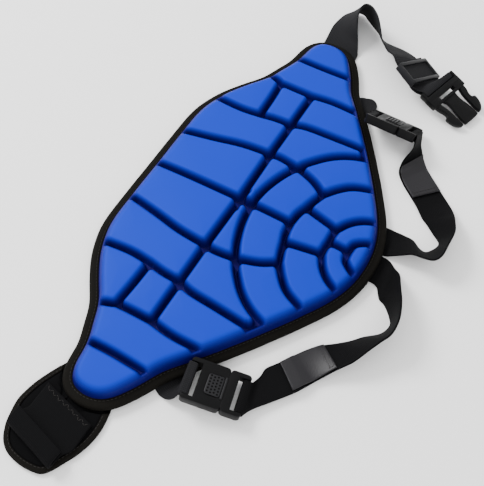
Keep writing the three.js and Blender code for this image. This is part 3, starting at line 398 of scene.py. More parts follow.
def inset(loop, distance):
    """An anticlockwise loop moved to its inside by a distance, along its own normals."""
    run = unit(np.roll(loop, -1, axis=0) - np.roll(loop, 1, axis=0))
    return loop + distance * np.stack([-run[:, 1], run[:, 0]], axis=1)


def pad_place(along, across, side=1):
    """A place on the pad, given as shares of its half length and its width."""
    return pad_centre + np.array([side * along * HALF_LENGTH, across * PAD_WIDTH])


def area_of(loop):
    """The area inside a closed flat line, negative if it runs clockwise."""
    x, y = loop.T
    return 0.5 * np.sum(x * np.roll(y, -1) - np.roll(x, -1) * y)


print("outline area", area_of(outline))

# %% [markdown]
# ## The grooves between the cells
#
# The foam is pressed in a heated mould, which leaves cells between narrow grooves. Booleans could cut them
# out of a slab, but pressed foam has no sharp edge anywhere. So only the lines are drawn here, on one half
# and mirrored. Each runs smoothly through places given as shares of the pad's half length and width, and
# grooves that meet share a named crossing.

# %% Groove lines

CROSSINGS = {
    "hub": (0, 0.076),
    "apex": (0, 0.026),
    "ring": (0, -0.145),
    "heel": (0, -0.305),
    "chin": (0, -0.387),
    "bar_a": (0.254, 0.08),
    "bar_b": (0.436, 0.081),
    "bar_c": (0.625, 0.082),
    "fork": (0.422, 0.218),
    "corner": (0.627, 0.23),
    "inner": (0.248, -0.046),
    "middle": (0.181, -0.191),
    "split": (0.092, -0.163),
    "lower": (0.063, -0.307),
}
GROOVES = {
    "top_axis": ["hub", (0, 0.3), (0, 0.5)],
    "hub_axis": ["hub", (0, 0.05), "apex"],
    "ring_axis": ["apex", (0, -0.07), "ring"],
    "heel_axis": ["heel", (0, -0.35), "chin"],
    "bar_inner": ["hub", (0.127, 0.078), "bar_a"],
    "bar_middle": ["bar_a", (0.345, 0.08), "bar_b"],
    "bar_outer": ["bar_b", (0.53, 0.082), "bar_c"],
    "tall": ["bar_a", (0.243, 0.2), (0.218, 0.32), (0.185, 0.5)],
    "rise": ["bar_b", (0.433, 0.15), "fork"],
    "crest": ["fork", (0.415, 0.31), (0.426, 0.45)],
    "shelf": ["fork", (0.525, 0.222), "corner"],
    "shoulder": ["corner", (0.637, 0.25), (0.66, 0.32)],
    "wing": ["corner", (0.625, 0.155), "bar_c"],
    "hip": ["bar_c", (0.637, -0.02), (0.633, -0.16)],
    "tip": [(0.801, 0.27), (0.797, 0.146), (0.799, 0.057), (0.804, -0.06)],
    "flank": ["bar_b", (0.454, 0.02), (0.462, -0.09), (0.475, -0.27)],
    "wedge": ["bar_a", (0.257, 0.03), "inner"],
    "arch_inner": ["apex", (0.091, 0.014), (0.181, -0.013), "inner"],
    "arch_outer": ["inner", (0.293, -0.073), (0.361, -0.132), (0.409, -0.2), (0.444, -0.29)],
    "spoke": ["inner", (0.219, -0.13), "middle"],
    "bow_inner": ["ring", (0.05, -0.15), "split"],
    "bow_middle": ["split", (0.135, -0.175), "middle"],
    "bow_outer": ["middle", (0.235, -0.231), (0.277, -0.278), (0.312, -0.36)],
    "slat": ["split", (0.077, -0.236), "lower"],
    "hoop_inner": ["heel", (0.03, -0.304), "lower"],
    "hoop_outer": ["lower", (0.113, -0.335), (0.153, -0.377), (0.184, -0.44)],
    "chin_bow": ["chin", (0.045, -0.397), (0.09, -0.46)],
}


def groove_line(name, side):
    """The groove's smooth line on one side of the pad, through its places and named crossings."""
    stops = [CROSSINGS[stop] if isinstance(stop, str) else stop for stop in GROOVES[name]]
    return finer(np.array([pad_place(*stop, side) for stop in stops]), 5)


groove_lines = [groove_line(name, side) for name in GROOVES for side in (1, -1)]
print("grooves", len(groove_lines))

# %% [markdown]
# ## The moulded face
#
# The face is a height above the table at every place: the groove floor, a rounded wall into each cell, and
# a crown over the whole field. The wall's place comes from the distance to the nearest groove or rim. A
# cloth simulation blows up soft, slack cushions, but these cells are set foam with a tight skin, so their
# height is worked out instead.

# %% Distances on the pad


def distance_to(line, points, closed=False):
    """The distance of every point from a line of straight spans: the least over the spans of the distance to
    the nearest place on each."""
    ends = np.concatenate([line, line[:1]]) if closed else line
    nearest = np.full(len(points), np.inf)
    for start, stop in zip(ends[:-1], ends[1:]):
        span = stop - start
        share = np.clip((points - start) @ span / max(span @ span, 1e-18), 0, 1)
        gap = points - start - share[:, None] * span
        np.minimum(nearest, np.einsum("ij,ij->i", gap, gap), out=nearest)
    return np.sqrt(nearest)


def inside_by(loop, points):
    """How far inside a loop each point is, negative outside. A point is inside if it is nearer to the loop's
    middle than the loop is at that bearing."""
    middle = loop.mean(axis=0)
    bearing = bearings(loop, middle)
    order = np.argsort(bearing)
    reach = np.linalg.norm(loop - middle, axis=1)[order]
    edge = np.interp(bearings(points, middle), bearing[order], reach, period=2 * np.pi)
    side = np.where(np.linalg.norm(points - middle, axis=1) < edge, 1.0, -1.0)
    return side * distance_to(loop, points, closed=True)


print("pad centre is", inside_by(outline, pad_centre[None])[0], "m inside the edge")

# %% [markdown]
# ### Round cells
#
# Where two grooves meet, the distance alone gives a cell a sharp corner, and a heated mould leaves it
# round. So the deep part of each cell is kept, and the rest is filled in again at one radius from it.

# %% Round the corners of the cells


def round_corners(net, inner, radius, step):
    """How far inside its cell's border each place of a net is, once the cell's corners are rounded. Where the
    cell is deeper than the radius nothing changes, and elsewhere it is the radius less the distance to that
    deep part. The nearest deep place is handed on over the net in hops of 8, 4, 2 and 1 steps."""
    slope = unit(np.stack(np.gradient(inner, step)[::-1], axis=-1) + 1e-12)
    shore = (inner >= radius) & (inner < radius + 1.6 * step)
    nearest = np.where(shore[..., None], net - (inner - radius)[..., None] * slope, 1e3)
    best = np.linalg.norm(net - nearest, axis=-1)
    for hop in (8, 4, 2, 1, 1):
        for shift in [(y, x) for y in (-hop, 0, hop) for x in (-hop, 0, hop)]:
            offered = np.roll(nearest, shift, axis=(0, 1))
            distance = np.linalg.norm(net - offered, axis=-1)
            closer = distance < best
            best[closer] = distance[closer]
            nearest[closer] = offered[closer]
    return np.where(inner >= radius, inner, radius - best)


# %% [markdown]
# ### The height of the face
#
# The heights add up: the flange under the tape, the groove floor, the wall of the cell, the pad's crown, a
# slow swell of each cell and a ripple of a fifth of a millimetre, as real foam has. Towards the rim the
# grooves run out, because the mould closes there.

# %% Height of the face

FLANGE_TOP = 7.0 * MM
GROOVE_FLOOR = 9.0 * MM
GROOVE_HALF = 1.3 * MM
CELL_HEIGHT = 7.5 * MM
CELL_CORNER = 4.5 * MM
CELL_WALL = 4.6 * MM
CELL_SWELL = 0.9 * MM
RIM_WALL = 8.5 * MM
RUN_OUT = 7 * MM
CROWN = 5.5 * MM
RIPPLE = 0.18 * MM


def rounded_rise(distance, reach):
    """From 0 to 1 over the reach, steep at first and level at the end: (1 - (1 - t)^2.2)^0.6."""
    t = np.clip(distance / reach, 0, 1)
    return (1 - (1 - t) ** 2.2) ** 0.6


def face_height(net, step):
    """The height of the face at every place of a net, how far up a cell's side it is, from 0 to 1, and how
    far inside the pad's edge."""
    points = net.reshape(-1, 2)
    depth = inside_by(outline[::3], points)
    gap = np.min([distance_to(line, points) for line in groove_lines], axis=0)
    inner = np.minimum(gap - GROOVE_HALF, depth - RIM_INSET)
    cell = round_corners(net, inner.reshape(net.shape[:2]), CELL_CORNER, step).ravel()
    side = rounded_rise(cell, CELL_WALL)
    side += (1 - side) * eased(1 - np.clip((depth - RIM_INSET) / RUN_OUT, 0, 1))
    wall = side * rounded_rise(depth - RIM_INSET + 1 * MM, RIM_WALL)
    share = np.abs((points - pad_centre) / [HALF_LENGTH, PAD_WIDTH / 2]).clip(0, 1)
    crown = CROWN * np.prod(1 - share**2, axis=1)
    swell = CELL_SWELL * (1 - np.exp(-cell.clip(0) / (10 * MM)))
    ripple = RIPPLE * np.sin(points[:, 0] / (17 * MM) + 1.3) * np.sin(points[:, 1] / (13 * MM) + 0.4)
    step_up = np.clip((depth - TAPE_COVER) / (1.5 * MM), 0, 1)
    base = FLANGE_TOP + (GROOVE_FLOOR - FLANGE_TOP) * step_up
    return base + wall * (CELL_HEIGHT + crown + swell + ripple), wall, depth


# %% [markdown]
# ### The face as a closed piece
#
# The heights stand on a square net of points, and only squares well inside the edge are kept. Their jagged
# rim lies under the edge tape. It is drawn down to a flat bottom, so that the foam is solid.

# %% Moulded face

FACE_UNDERSIDE = 5.0 * MM
HIDDEN_EDGE = 5.0 * MM


def moulded_face(step):
    """The pad's face on a square net of points, closed below by a wall and a flat bottom."""
    low, high = outline.min(axis=0), outline.max(axis=0)
    across = np.arange(low[0], high[0], step)
    up = np.arange(low[1], high[1], step)
    net = np.stack(np.meshgrid(across, up), axis=-1)
    height, wall, depth = face_height(net, step)
    net = net.reshape(-1, 2)
    kept = depth > HIDDEN_EDGE
    faces = grid_faces(len(up), len(across))
    faces = faces[kept[faces].all(axis=1)]
    used = np.unique(faces)
    place = np.full(len(net), -1)
    place[used] = np.arange(len(used))
    points = np.column_stack([net, height])[used]
    # The wall share to the fourth power sets the navy painted shade: full in the grooves, fading up the
    # cells' walls.
    face = make_piece("moulded_face", points, place[faces], blue_face, shade=wall[used] ** 4)
    shape = bmesh.new()
    shape.from_mesh(face.data)
    rim = [edge for edge in shape.edges if edge.is_boundary]
    wall_made = bmesh.ops.extrude_edge_only(shape, edges=rim)["geom"]
    lower = [part for part in wall_made if isinstance(part, bmesh.types.BMVert)]
    bmesh.ops.scale(shape, vec=(1, 1, 0), verts=lower)
    bmesh.ops.translate(shape, vec=(0, 0, FACE_UNDERSIDE), verts=lower)
    bottom = [part for part in wall_made if isinstance(part, bmesh.types.BMEdge) and part.is_boundary]
    bmesh.ops.holes_fill(shape, edges=bottom, sides=0)
    bmesh.ops.recalc_face_normals(shape, faces=shape.faces)
    shape.to_mesh(face.data)
    shape.free()
    return face


pad_face = moulded_face(0.85 * MM)
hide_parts("padded_panel")
print("face points", len(pad_face.data.vertices))

# %% [markdown]
# ## Back and edge tape
#
# The back is a plain cloth over the foam, flat on the table. A folded tape wraps the edge of face and back
# and is sewn through both. A Solidify modifier could thicken a plane, but a drawn section, carried round
# the outline, gives the tape its soft C with rounded lips.

# %% Back and edge tape


def loop_rings(loop, rows):
    """A loop repeated at each row's inset and height, both in millimetres."""
    flat = [inset(loop, row[0] * MM) for row in rows]
    return np.stack([np.column_stack([f, np.full(len(f), row[1] * MM)]) for f, row in zip(flat, rows)])


def capped(points, rows, count):
    """The faces of a stack of rings, closed by a fan at each end; the two hubs are added to the points."""
    hubs = [points[:count].mean(axis=0), points[-count:].mean(axis=0)]
    here = np.arange(count)
    beside = (here + 1) % count
    top = (rows - 1) * count
    first_fan = np.stack([beside, here, np.full(count, len(points))], axis=1)
    last_fan = np.stack([top + here, top + beside, np.full(count, len(points) + 1)], axis=1)
    faces = [*grid_faces(rows, count, close_columns=True), *first_fan, *last_fan]
    return np.concatenate([points, hubs]), faces


def closed_stack(name, loop, rows, material):
    """A loop's rings at every row's inset and height, closed at both ends."""
    points, faces = capped(loop_rings(loop, rows).reshape(-1, 3), len(rows), len(loop))
    return outwards(make_piece(name, points, faces, material))


BACK_ROWS = [
    (13.0, 0.0), (11.6, 0.15), (10.8, 0.7), (10.5, 1.6), (10.4, 3.3), (9.8, 3.5), (1.8, 3.55), (1.55, 3.8),
    (1.55, 4.4), (1.8, 4.6),
]
back_cloth = closed_stack("back_cloth", outline[::2], BACK_ROWS, black_back)
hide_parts("back_panel")

TAPE_SECTION = [
    (8.5, 2.15), (6.5, 2.1), (4.2, 2.05), (2.6, 2.2), (1.3, 2.7), (0.45, 3.6), (0.05, 4.8), (0.05, 5.8),
    (0.45, 7.0), (1.3, 7.85), (2.6, 8.4), (4.2, 8.6), (6.3, 8.62), (7.9, 8.5), (8.5, 8.15), (8.45, 7.5),
    (6.0, 7.3), (3.2, 7.1), (1.9, 6.4), (1.5, 5.3), (1.9, 4.2), (3.2, 3.45), (6.0, 3.25), (8.4, 3.2),
]


def bound_edge(name, loop, section, material):
    """A tape's section carried round a loop, with the weave's coordinates in metres."""
    points = loop_rings(loop, section).reshape(-1, 3)
    uv = np.stack(np.meshgrid(run_of(loop), run_of(np.array(section) * MM)), axis=-1).reshape(-1, 2)
    faces = grid_faces(len(section), len(loop), close_rows=True, close_columns=True)
    return outwards(make_piece(name, points, faces, material, uv=uv))


edge_tape = bound_edge("bound_edge", outline, TAPE_SECTION, brown_tape)
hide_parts("edge_binding")
print("edge tape points", len(edge_tape.data.vertices))

# %% [markdown]
# ## Stitches
#
# A stitch is a short piece of thread that dips into the cloth at both ends. A bump could paint it on, but
# real thread catches the light from the side. Each is a six-sided spindle of thirty points, and a whole row
# of hundreds is one light mesh.

# %% Stitch tool


def stitches(name, lines, length=2.3 * MM, gap=0.9 * MM, thick=0.5 * MM):
    """Rows of thread spindles along lines of points; each line has its places and their upward normals."""
    starts, stops, ups = [], [], []
    for places, normals in lines:
        run = run_of(places)
        first = np.arange(gap / 2, run[-1] - length, length + gap)
        starts.append(read_at(first, run, places))
        stops.append(read_at(first + length, run, places))
        ups.append(read_at(first + length / 2, run, normals))
    start, stop, up = (np.concatenate(a) for a in (starts, stops, ups))
    run = unit(stop - start)
    side = unit(np.cross(up, run))
    up = np.cross(run, side)
    turn = np.arange(6) * np.pi / 3
    share = np.array([0.0, 0.15, 0.5, 0.85, 1.0])
    girth = np.array([0.25, 0.8, 1.0, 0.8, 0.25]) * thick / 2
    rise = np.array([-0.25, 0.1, 0.25, 0.1, -0.25]) * thick
    centre = start[:, None] + share[None, :, None] * (stop - start)[:, None]
    centre = centre + rise[None, :, None] * up[:, None]
    round_ = side[:, None] * np.cos(turn)[None, :, None] + up[:, None] * np.sin(turn)[None, :, None]
    points = centre[:, :, None] + girth[None, :, None, None] * round_[:, None]
    body = grid_faces(5, 6, close_columns=True)
    block = (np.arange(len(start)) * 30)[:, None, None]
    faces = [list(f) for f in (body[None] + block).reshape(-1, 4)]
    caps = np.concatenate([block[:, 0] + np.arange(6)[::-1], block[:, 0] + 24 + np.arange(6)])
    faces += [list(f) for f in caps]
    return outwards(make_piece(name, points.reshape(-1, 3), faces, thread))


def level_line(loop, height):
    """A closed flat line at a height, with upward normals, ready to be sewn."""
    places = np.column_stack([loop, np.full(len(loop), height)])
    places = np.concatenate([places, places[:1]])
    return places, np.tile([0.0, 0.0, 1.0], (len(places), 1))


edge_stitches = stitches("edge_stitches", [level_line(inset(outline, 6.4 * MM), 8.68 * MM)])
print("edge stitches", len(edge_stitches.data.polygons))

# %% [markdown]
# ## Straps
#
# Every strap is a flat woven ribbon with rounded edges. A cloth simulation would let it fall flat, but here
# each lies in twists as it was put down. So its rings come from the CAD piece, four times finer, and its
# section is carried through them. The weave's coordinates are metres of ribbon.

# %% Ribbon tools


def ribbon_frames(node):
    """Middle, half side vector and half thickness vector at every fine station of a CAD strap."""
    rings = rings_of(node)
    sides = (rings[:, 2] + rings[:, 3] - rings[:, 0] - rings[:, 1]) / 4
    normals = (rings[:, 1] + rings[:, 2] - rings[:, 0] - rings[:, 3]) / 4
    middle, side, thick = (finer(rows, 4) for rows in (rings.mean(axis=1), sides, normals))
    return middle, unit(side) * np.linalg.norm(sides[0]), unit(thick) * np.linalg.norm(normals[0])


RIBBON_EDGE = [(0.985, 0.93), (0.997, 0.6), (1.0, 0.0), (0.997, -0.6), (0.985, -0.93)]


def ribbon_section(columns=11):
    """A flat section from -1 to 1 both ways with rounded edges, its top first."""
    top = [(x, 1.0) for x in np.linspace(-0.96, 0.96, columns)]
    bottom = [(x, -1.0) for x in np.linspace(0.96, -0.96, columns)]
    return np.array(top + RIBBON_EDGE + bottom + [(-x, -y) for x, y in RIBBON_EDGE])


def ribbon(name, frames, material):
    """The section carried through the frames: each point is middle + x * side + y * thickness."""
    middle, side, thick = frames
    section = ribbon_section()
    points = middle[:, None] + section[:, :1] * side[:, None] + section[:, 1:] * thick[:, None]
    run = run_of(middle)
    width = np.linalg.norm(side[0])
    uv = np.stack(np.broadcast_arrays(run[:, None], section[None, :, 0] * width), axis=-1).reshape(-1, 2)
    body, faces = capped(points.reshape(-1, 3), len(middle), len(section))
    uv = np.concatenate([uv, [[0, 0], [run[-1], 0]]])
    return outwards(make_piece(name, body, faces, material, uv=uv))


SEAM_PROUD = 0.15 * MM


def on_ribbon(frames, stations, across):
    """Places and normals on the top of a ribbon, at stations and shares across it."""
    whole = np.arange(len(frames[0]))
    middle, side, up = (read_at(stations, whole, rows) for rows in frames)
    return middle + np.asarray(across)[:, None] * side + up + unit(up) * SEAM_PROUD, unit(up)


print("waist webbing has", len(ribbon_frames("waist_webbing")[0]), "stations")

# %% [markdown]
# ### Ribbons moved a little from the CAD
#
# Seen beside the photo, the CAD's flap band lies ten millimetres off, its slide points another way, and its
# plug lies flat where the real one dips to the table. A ribbon can be bent afterwards as a skin is bent by
# bones: each station takes its own eased share of a shift or of a turn about a place.

# %% Bend ribbons


def settled(frames, shift):
    """The same ribbon with its far part moved by a shift, eased in from 0.3 to 0.65 of its length."""
    middle, side, thick = frames
    run = run_of(middle) / run_of(middle)[-1]
    return middle + eased(np.clip((run - 0.3) / 0.35, 0, 1))[:, None] * shift, side, thick


def axes_of(place, along, across, drop):
    """The underside of a plate `drop` millimetres below a place, and its directions across, along and up."""
    along = unit(np.array(along, dtype=float))
    up = unit(np.cross(np.array(across, dtype=float), along))
    return np.array(place) * MM + np.append(pad_centre, 0) - up * drop * MM, np.cross(along, up), along, up


def carried(frames, moves):
    """The same ribbon with its stations carried: each move adds share * (turned place - old place)."""
    middle, side, thick = frames
    places, sides, normals = middle.copy(), side.copy(), thick.copy()
    for share, turn, start, stop in moves:
        places += share[:, None] * ((middle - start) @ turn.T + stop - middle)
        sides += share[:, None] * (side @ turn.T - side)
        normals += share[:, None] * (thick @ turn.T - thick)
    across = unit(sides)
    up = unit(normals - np.sum(normals * across, axis=1)[:, None] * across)
    return places, across * np.linalg.norm(side[0]), up * np.linalg.norm(thick[0])


HALF_PLUG = 3.5
plug_in_cad = axes_of((222.5, -93.9, 6.9), (0.4, 0.91, 0.02), (0.93, -0.38, -0.12), HALF_PLUG)
plug_axes = axes_of((208.8, -93.2, 11.6), (0.258, 0.921, 0.259), (0.969, -0.25, 0.0), HALF_PLUG)
plug_turn = np.stack(plug_axes[1:], axis=1) @ np.stack(plug_in_cad[1:])

SLIDE_SWING = math.radians(-32)
SLIDE_SHIFT = np.array([-5.4, 2.8, 0.0]) * MM
cosine, sine = math.cos(SLIDE_SWING), math.sin(SLIDE_SWING)
slide_turn = np.array([(cosine, -sine, 0), (sine, cosine, 0), (0, 0, 1)])
slide_in_cad = np.mean(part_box("tri_glide"), axis=0)


def webbing_end(frames):
    """The waist webbing with its slide swung and its end carried to the plug, as both lie in the photo. The
    webbing runs through the slide, round the plug's bar and back through the slide."""
    station = np.arange(len(frames[0]))
    slide_share = eased(np.interp(station, [130, 190, 224, 238, 266, 280], [0, 1, 1, 0, 0, 1]))
    plug_share = eased(np.interp(station, [224, 238, 266, 280], [0, 1, 1, 0]))
    return carried(frames, [
        (slide_share, slide_turn, slide_in_cad, slide_in_cad + SLIDE_SHIFT),
        (plug_share, plug_turn, plug_in_cad[0], plug_axes[0]),
    ])


print("the plug moves by", np.round(plug_axes[0] - plug_in_cad[0], 4))

# %% [markdown]
# ### All the straps
#
# One table gives each ribbon's CAD piece its kind of cloth, name and material. Two ribbons are bent on the
# way.

# %% Straps

FLAP_BAND_SHIFT = np.array([9.0, 5.5, 0.0]) * MM
STRAPS = {
    "leg_strap_a": ("elastic", "leg_elastic_a", black_elastic),
    "leg_strap_b": ("elastic", "leg_elastic_b", black_elastic),
    "attach_webbing_a": ("webbing", "buckle_webbing_a", grey_webbing),
    "attach_webbing_b": ("webbing", "buckle_webbing_b", grey_webbing),
    "waist_webbing": ("webbing", "waist_strap", grey_webbing),
    "hook_tab_a": ("hook_tape", "hook_end_a", hook_grey),
    "hook_tab_b": ("hook_tape", "hook_end_b", hook_grey),
    "flap_band": ("elastic", "flap_elastic", black_elastic),
}
strap_frames = {node: ribbon_frames(node) for node in STRAPS}
first_pass = strap_frames["waist_webbing"][0][:240]
slide_seat = int(np.argmin(np.linalg.norm(first_pass - slide_in_cad, axis=1)))
strap_frames["waist_webbing"] = webbing_end(strap_frames["waist_webbing"])
strap_frames["flap_band"] = settled(strap_frames["flap_band"], FLAP_BAND_SHIFT)
for node, (cloth, name, material) in STRAPS.items():
    strap = ribbon(name, strap_frames[node], material)
    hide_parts(node)
    print(name, "is", round(run_of(strap_frames[node][0])[-1], 3), "m long")

# %% [markdown]
# ## Sewing on the straps
#
# The leg straps are sewn to their hook ends with a box of stitches, and the flap's elastic with a zigzag
# beside the pad. A seam is given by stations along a ribbon and shares across it, so it follows every bend
# of the ribbon.

# %% Sewing on the straps


def sewn_row(frames, stations, across):
    """A straight seam on a ribbon between two stations and two shares across it."""
    return on_ribbon(frames, np.linspace(*stations, 24), np.linspace(*across, 24))


def zigzag(frames, stations, across, turns):
    """A zigzag seam across a ribbon that swings between two stations."""
    swing = np.where(np.arange(2 * turns + 1) % 2 == 0, *stations)
    return on_ribbon(frames, swing, np.linspace(*across, 2 * turns + 1))


SEAM_SHARE = 0.82
for key in ("a", "b"):
    tab = strap_frames[f"hook_tab_{key}"]
    seams = [sewn_row(tab, (at, at), (-SEAM_SHARE, SEAM_SHARE)) for at in (1.5, 5.5)]
    seams += [sewn_row(tab, (1.5, 9.5), (at, at)) for at in (-SEAM_SHARE, SEAM_SHARE)]
    box_seam = stitches(f"hook_end_stitches_{key}", seams, length=1.9 * MM, gap=0.8 * MM, thick=0.45 * MM)

seams = [zigzag(strap_frames["flap_band"], (2.0, 8.0), (-0.9, 0.9), 8)]
band_seam = stitches("flap_elastic_stitches", seams, length=3.0 * MM, gap=0.4 * MM, thick=0.55 * MM)
print("zigzag faces", len(band_seam.data.polygons))

# %% [markdown]
# ## The flap
#
# The flap is a thin pad with its own bound edge, sewn on below the tip. It is made as the pad's back and
# tape are: a closed stack of rings, and a section carried round. The part below the pad's edge is then
# pressed down to the table, as cloth under a seam is.

# %% Flap and its binding

FLAP_SIZE = np.array([86, 71]) * MM
FLAP_OUTLINE = np.array([
    (0.505, 0.28), (0.388, 0.356), (0.217, 0.441), (0.072, 0.486), (-0.04, 0.499), (-0.176, 0.47),
    (-0.276, 0.434), (-0.391, 0.352), (-0.467, 0.23), (-0.5, 0.058), (-0.5, -0.09), (-0.484, -0.2),
    (-0.45, -0.262), (-0.39, -0.313), (-0.284, -0.377), (-0.174, -0.439), (-0.045, -0.483), (0.08, -0.499),
    (0.205, -0.485), (0.349, -0.44), (0.444, -0.345), (0.51, -0.106), (0.53, 0.106),
])
flap_corners = pad_place(-1.078, 0.182) + FLAP_OUTLINE * FLAP_SIZE


def evened(corners, spans, count):
    """A smooth closed line through corners, first drawn in `spans` pieces from corner to corner, then read at
    `count` equal steps."""
    line = finer(np.concatenate([corners, corners[:1]]), spans)
    closed = np.concatenate([line[:-1], line[:1]])
    run = run_of(closed)
    return read_at(np.linspace(0, run[-1], count, endpoint=False), run, closed)


flap_edge = finer_loop(evened(flap_corners, 12, 72), 360)
PRESSED = 1.75 * MM
LOOSE = 20 * MM


def under_pad(piece):
    """Presses the part of the flap that lies below the pad's edge down to the table, and stops it short of
    the back's field."""
    mesh = piece.data
    points = points_of(mesh)[0]
    depth = inside_by(outline[::4], points[:, :2])
    press = np.clip((depth + 4.5 * MM) / (3 * MM), 0, 1)
    points[:, 2] = np.minimum(points[:, 2], LOOSE + (PRESSED - LOOSE) * press)
    points[:, 0] -= np.clip(depth - 9.6 * MM, 0, None)
    mesh.vertices.foreach_set("co", points.ravel())
    mesh.update()
    return piece


FLAP_ROWS = [
    (7.0, 0.0), (6.0, 0.4), (5.4, 1.3), (1.6, 1.4), (1.4, 2.0), (1.6, 2.7), (5.0, 2.85), (5.6, 3.3),
    (6.8, 3.8), (9.0, 4.05), (12.0, 4.15), (18.0, 4.2),
]
flap = under_pad(closed_stack("flap_pad", flap_edge, FLAP_ROWS, black_back))
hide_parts("flap")
FLAP_TAPE = [
    (5.0, 0.05), (3.2, 0.0), (1.6, 0.15), (0.5, 0.7), (0.05, 1.5), (0.05, 2.5), (0.5, 3.35), (1.6, 3.9),
    (3.2, 4.1), (4.6, 4.05), (5.0, 3.7), (4.9, 3.2), (3.2, 3.1), (1.5, 2.8), (1.0, 2.0), (1.5, 1.2),
    (3.2, 0.95), (4.9, 0.9),
]
flap_tape = under_pad(bound_edge("flap_bound_edge", flap_edge, FLAP_TAPE, brown_tape))
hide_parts("flap_binding")
places, normals = level_line(inset(flap_edge, 3.9 * MM), 4.15 * MM)
shown = inside_by(outline[::4], places[:, :2]) < -2 * MM
flap_stitches = stitches("flap_stitches", [(places[shown], normals[shown])])
print("flap points", len(flap.data.vertices), "and tape points", len(flap_tape.data.vertices))

# %% [markdown]
# ## Buckles
#
# The buckles are hard, so the CAD solids stay. But moulded nylon never has a sharp edge. A Weld modifier
# joins the loose corners, and a Bevel modifier rounds every edge of more than thirty degrees by half a
# millimetre.

# %% Round the edges of the moulded pieces


def moulded(node, material, radius):
    """Finishes a CAD piece as moulded plastic, with its corners joined and its edges rounded by a radius."""
    piece = nodes[node]
    piece.data.materials.clear()
    piece.data.materials.append(material)
    piece.data.polygons.foreach_set("use_smooth", np.ones(len(piece.data.polygons), dtype=bool))
    weld = piece.modifiers.new("join_corners", "WELD")
    weld.merge_threshold = 0.00001
    bevel = piece.modifiers.new("rounded_edges", "BEVEL")
    bevel.width = radius
    bevel.segments = 3
    bevel.limit_method = "ANGLE"
    bevel.angle_limit = math.radians(30)
    bevel.harden_normals = True
    return piece


EDGE_RADIUS = 0.55 * MM
for node in ("buckle_socket_a", "buckle_frame_a", "buckle_socket_b", "buckle_frame_b"):
    moulded(node, dark_plastic, EDGE_RADIUS)
    print(node, "rounded by", EDGE_RADIUS, "m")

# %% [markdown]
# ## Press pads
#
# The catch of each leg buckle is opened with a square pad on its top, covered with small dots for grip,
# with a ridge on the side of the seam. These, the plug and the slide are all low buttons: a plan outline
# drawn in and raised from row to row. That gives soft edges with few points, in each buckle's own tilted
# axes.

# %% Button tools


def rounded_box(width, length, radius, corner_steps=5):
    """A rounded rectangle round the origin, anticlockwise: a quarter circle turned to each corner."""
    turn = np.linspace(0, np.pi / 2, corner_steps)
    arc = radius * np.stack([np.cos(turn), np.sin(turn)], axis=1)
    quarters = []
    for k, (sx, sy) in enumerate([(1, 1), (-1, 1), (-1, -1), (1, -1)]):
        c, s = np.cos(k * np.pi / 2), np.sin(k * np.pi / 2)
        middle = np.array([sx * (width / 2 - radius), sy * (length / 2 - radius)])
        quarters.append(middle + arc @ np.array([[c, s], [-s, c]]))
    return np.concatenate(quarters)


def plan_box(x0, x1, y0, y1, radius, corner_steps=5):
    """A function that gives a rounded box between two corners, drawn in by a cut."""
    middle = [(x0 + x1) / 2, (y0 + y1) / 2]

    def drawn_in(cut):
        size = (x1 - x0 - 2 * cut, y1 - y0 - 2 * cut)
        return rounded_box(*size, max(radius - cut, 0.1), corner_steps) + middle

    return drawn_in


def stacked(name, outline_at, rows, axes, material):
    """A low button: the outline drawn in by each row's cut and set at its height, in a buckle's axes."""
    base, across, along, up = axes
    flat = np.stack([outline_at(cut) for cut, height in rows])
    heights = np.array([height for cut, height in rows])[:, None, None]
    points = base + MM * (flat[..., :1] * across + flat[..., 1:] * along + heights * up)
    body, faces = capped(points.reshape(-1, 3), len(rows), flat.shape[1])
    return outwards(make_piece(name, body, faces, material))


def joined(name, pieces):
    """Several meshes made one."""
    shape = bmesh.new()
    for piece in pieces:
        shape.from_mesh(piece.data)
    shape.to_mesh(pieces[0].data)
    shape.free()
    for piece in pieces[1:]:
        bpy.data.objects.remove(piece)
    pieces[0].name = name
    return pieces[0]


print("a corner of the press pad's plan:", plan_box(-8.8, 8.8, 2.9, 15.7, 2.2)(0)[0])

# %% [markdown]
# ### Pads, dots and ridges
#
# The table has each buckle's place in millimetres from the pad's centre and its directions along and
# across. Rows of a button are pairs of how far it is drawn in and how high it stands. The dots stand in
# four staggered rows of six, and each buckle's dots are one mesh.

# %% Press pads

BUCKLE_PLACES = {
    "a": ((145.86, -70.452, 16.0), (0, 1, 0.02), (0.786, 0, -0.618)),
    "b": ((-157.573, -60.876, 10.4), (-0.226, 0.97, 0.16), (0.96, 0.22, -0.08)),
}
HALF_BUCKLE = 4
PAD_ROWS = [(0.6, 5.7), (0.3, 6.0), (0.3, 8.0), (0.0, 8.1), (0.0, 8.5), (0.35, 8.8), (0.9, 8.9)]
DOT_ROWS = [(0.0, 8.7), (0.0, 8.95), (0.2, 9.15)]
RIDGE_ROWS = [(0.0, 7.8), (0.0, 8.6), (0.4, 8.9)]
DOT_PLACES = [
    ((column - 2.5) * 2.7 + 0.7 * (row % 2) - 0.35, 9.3 + (row - 1.5) * 2.8)
    for row in range(4) for column in range(6)
]


def grip_dot(x, y, axes):
    """One round-cornered dot, 1.6 mm wide."""
    return stacked("dot", plan_box(x - 0.8, x + 0.8, y - 0.8, y + 0.8, 0.75, 3), DOT_ROWS, axes, dot_black)


for key, place in BUCKLE_PLACES.items():
    axes = axes_of(*place, HALF_BUCKLE)
    pad_plan = plan_box(-8.8, 8.8, 2.9, 15.7, 2.2)
    press_pad = stacked(f"press_button_{key}", pad_plan, PAD_ROWS, axes, grey_plastic)
    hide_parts(f"press_pad_{key}")
    grip = joined(f"grip_dots_{key}", [grip_dot(x, y, axes) for x, y in DOT_PLACES])
    ridge_plan = plan_box(-9.5, 9.5, 0.6, 2.4, 0.8)
    ridge = stacked(f"seam_ridge_{key}", ridge_plan, RIDGE_ROWS, axes, grey_plastic)
    print("press pad", key, "has", len(DOT_PLACES), "dots")

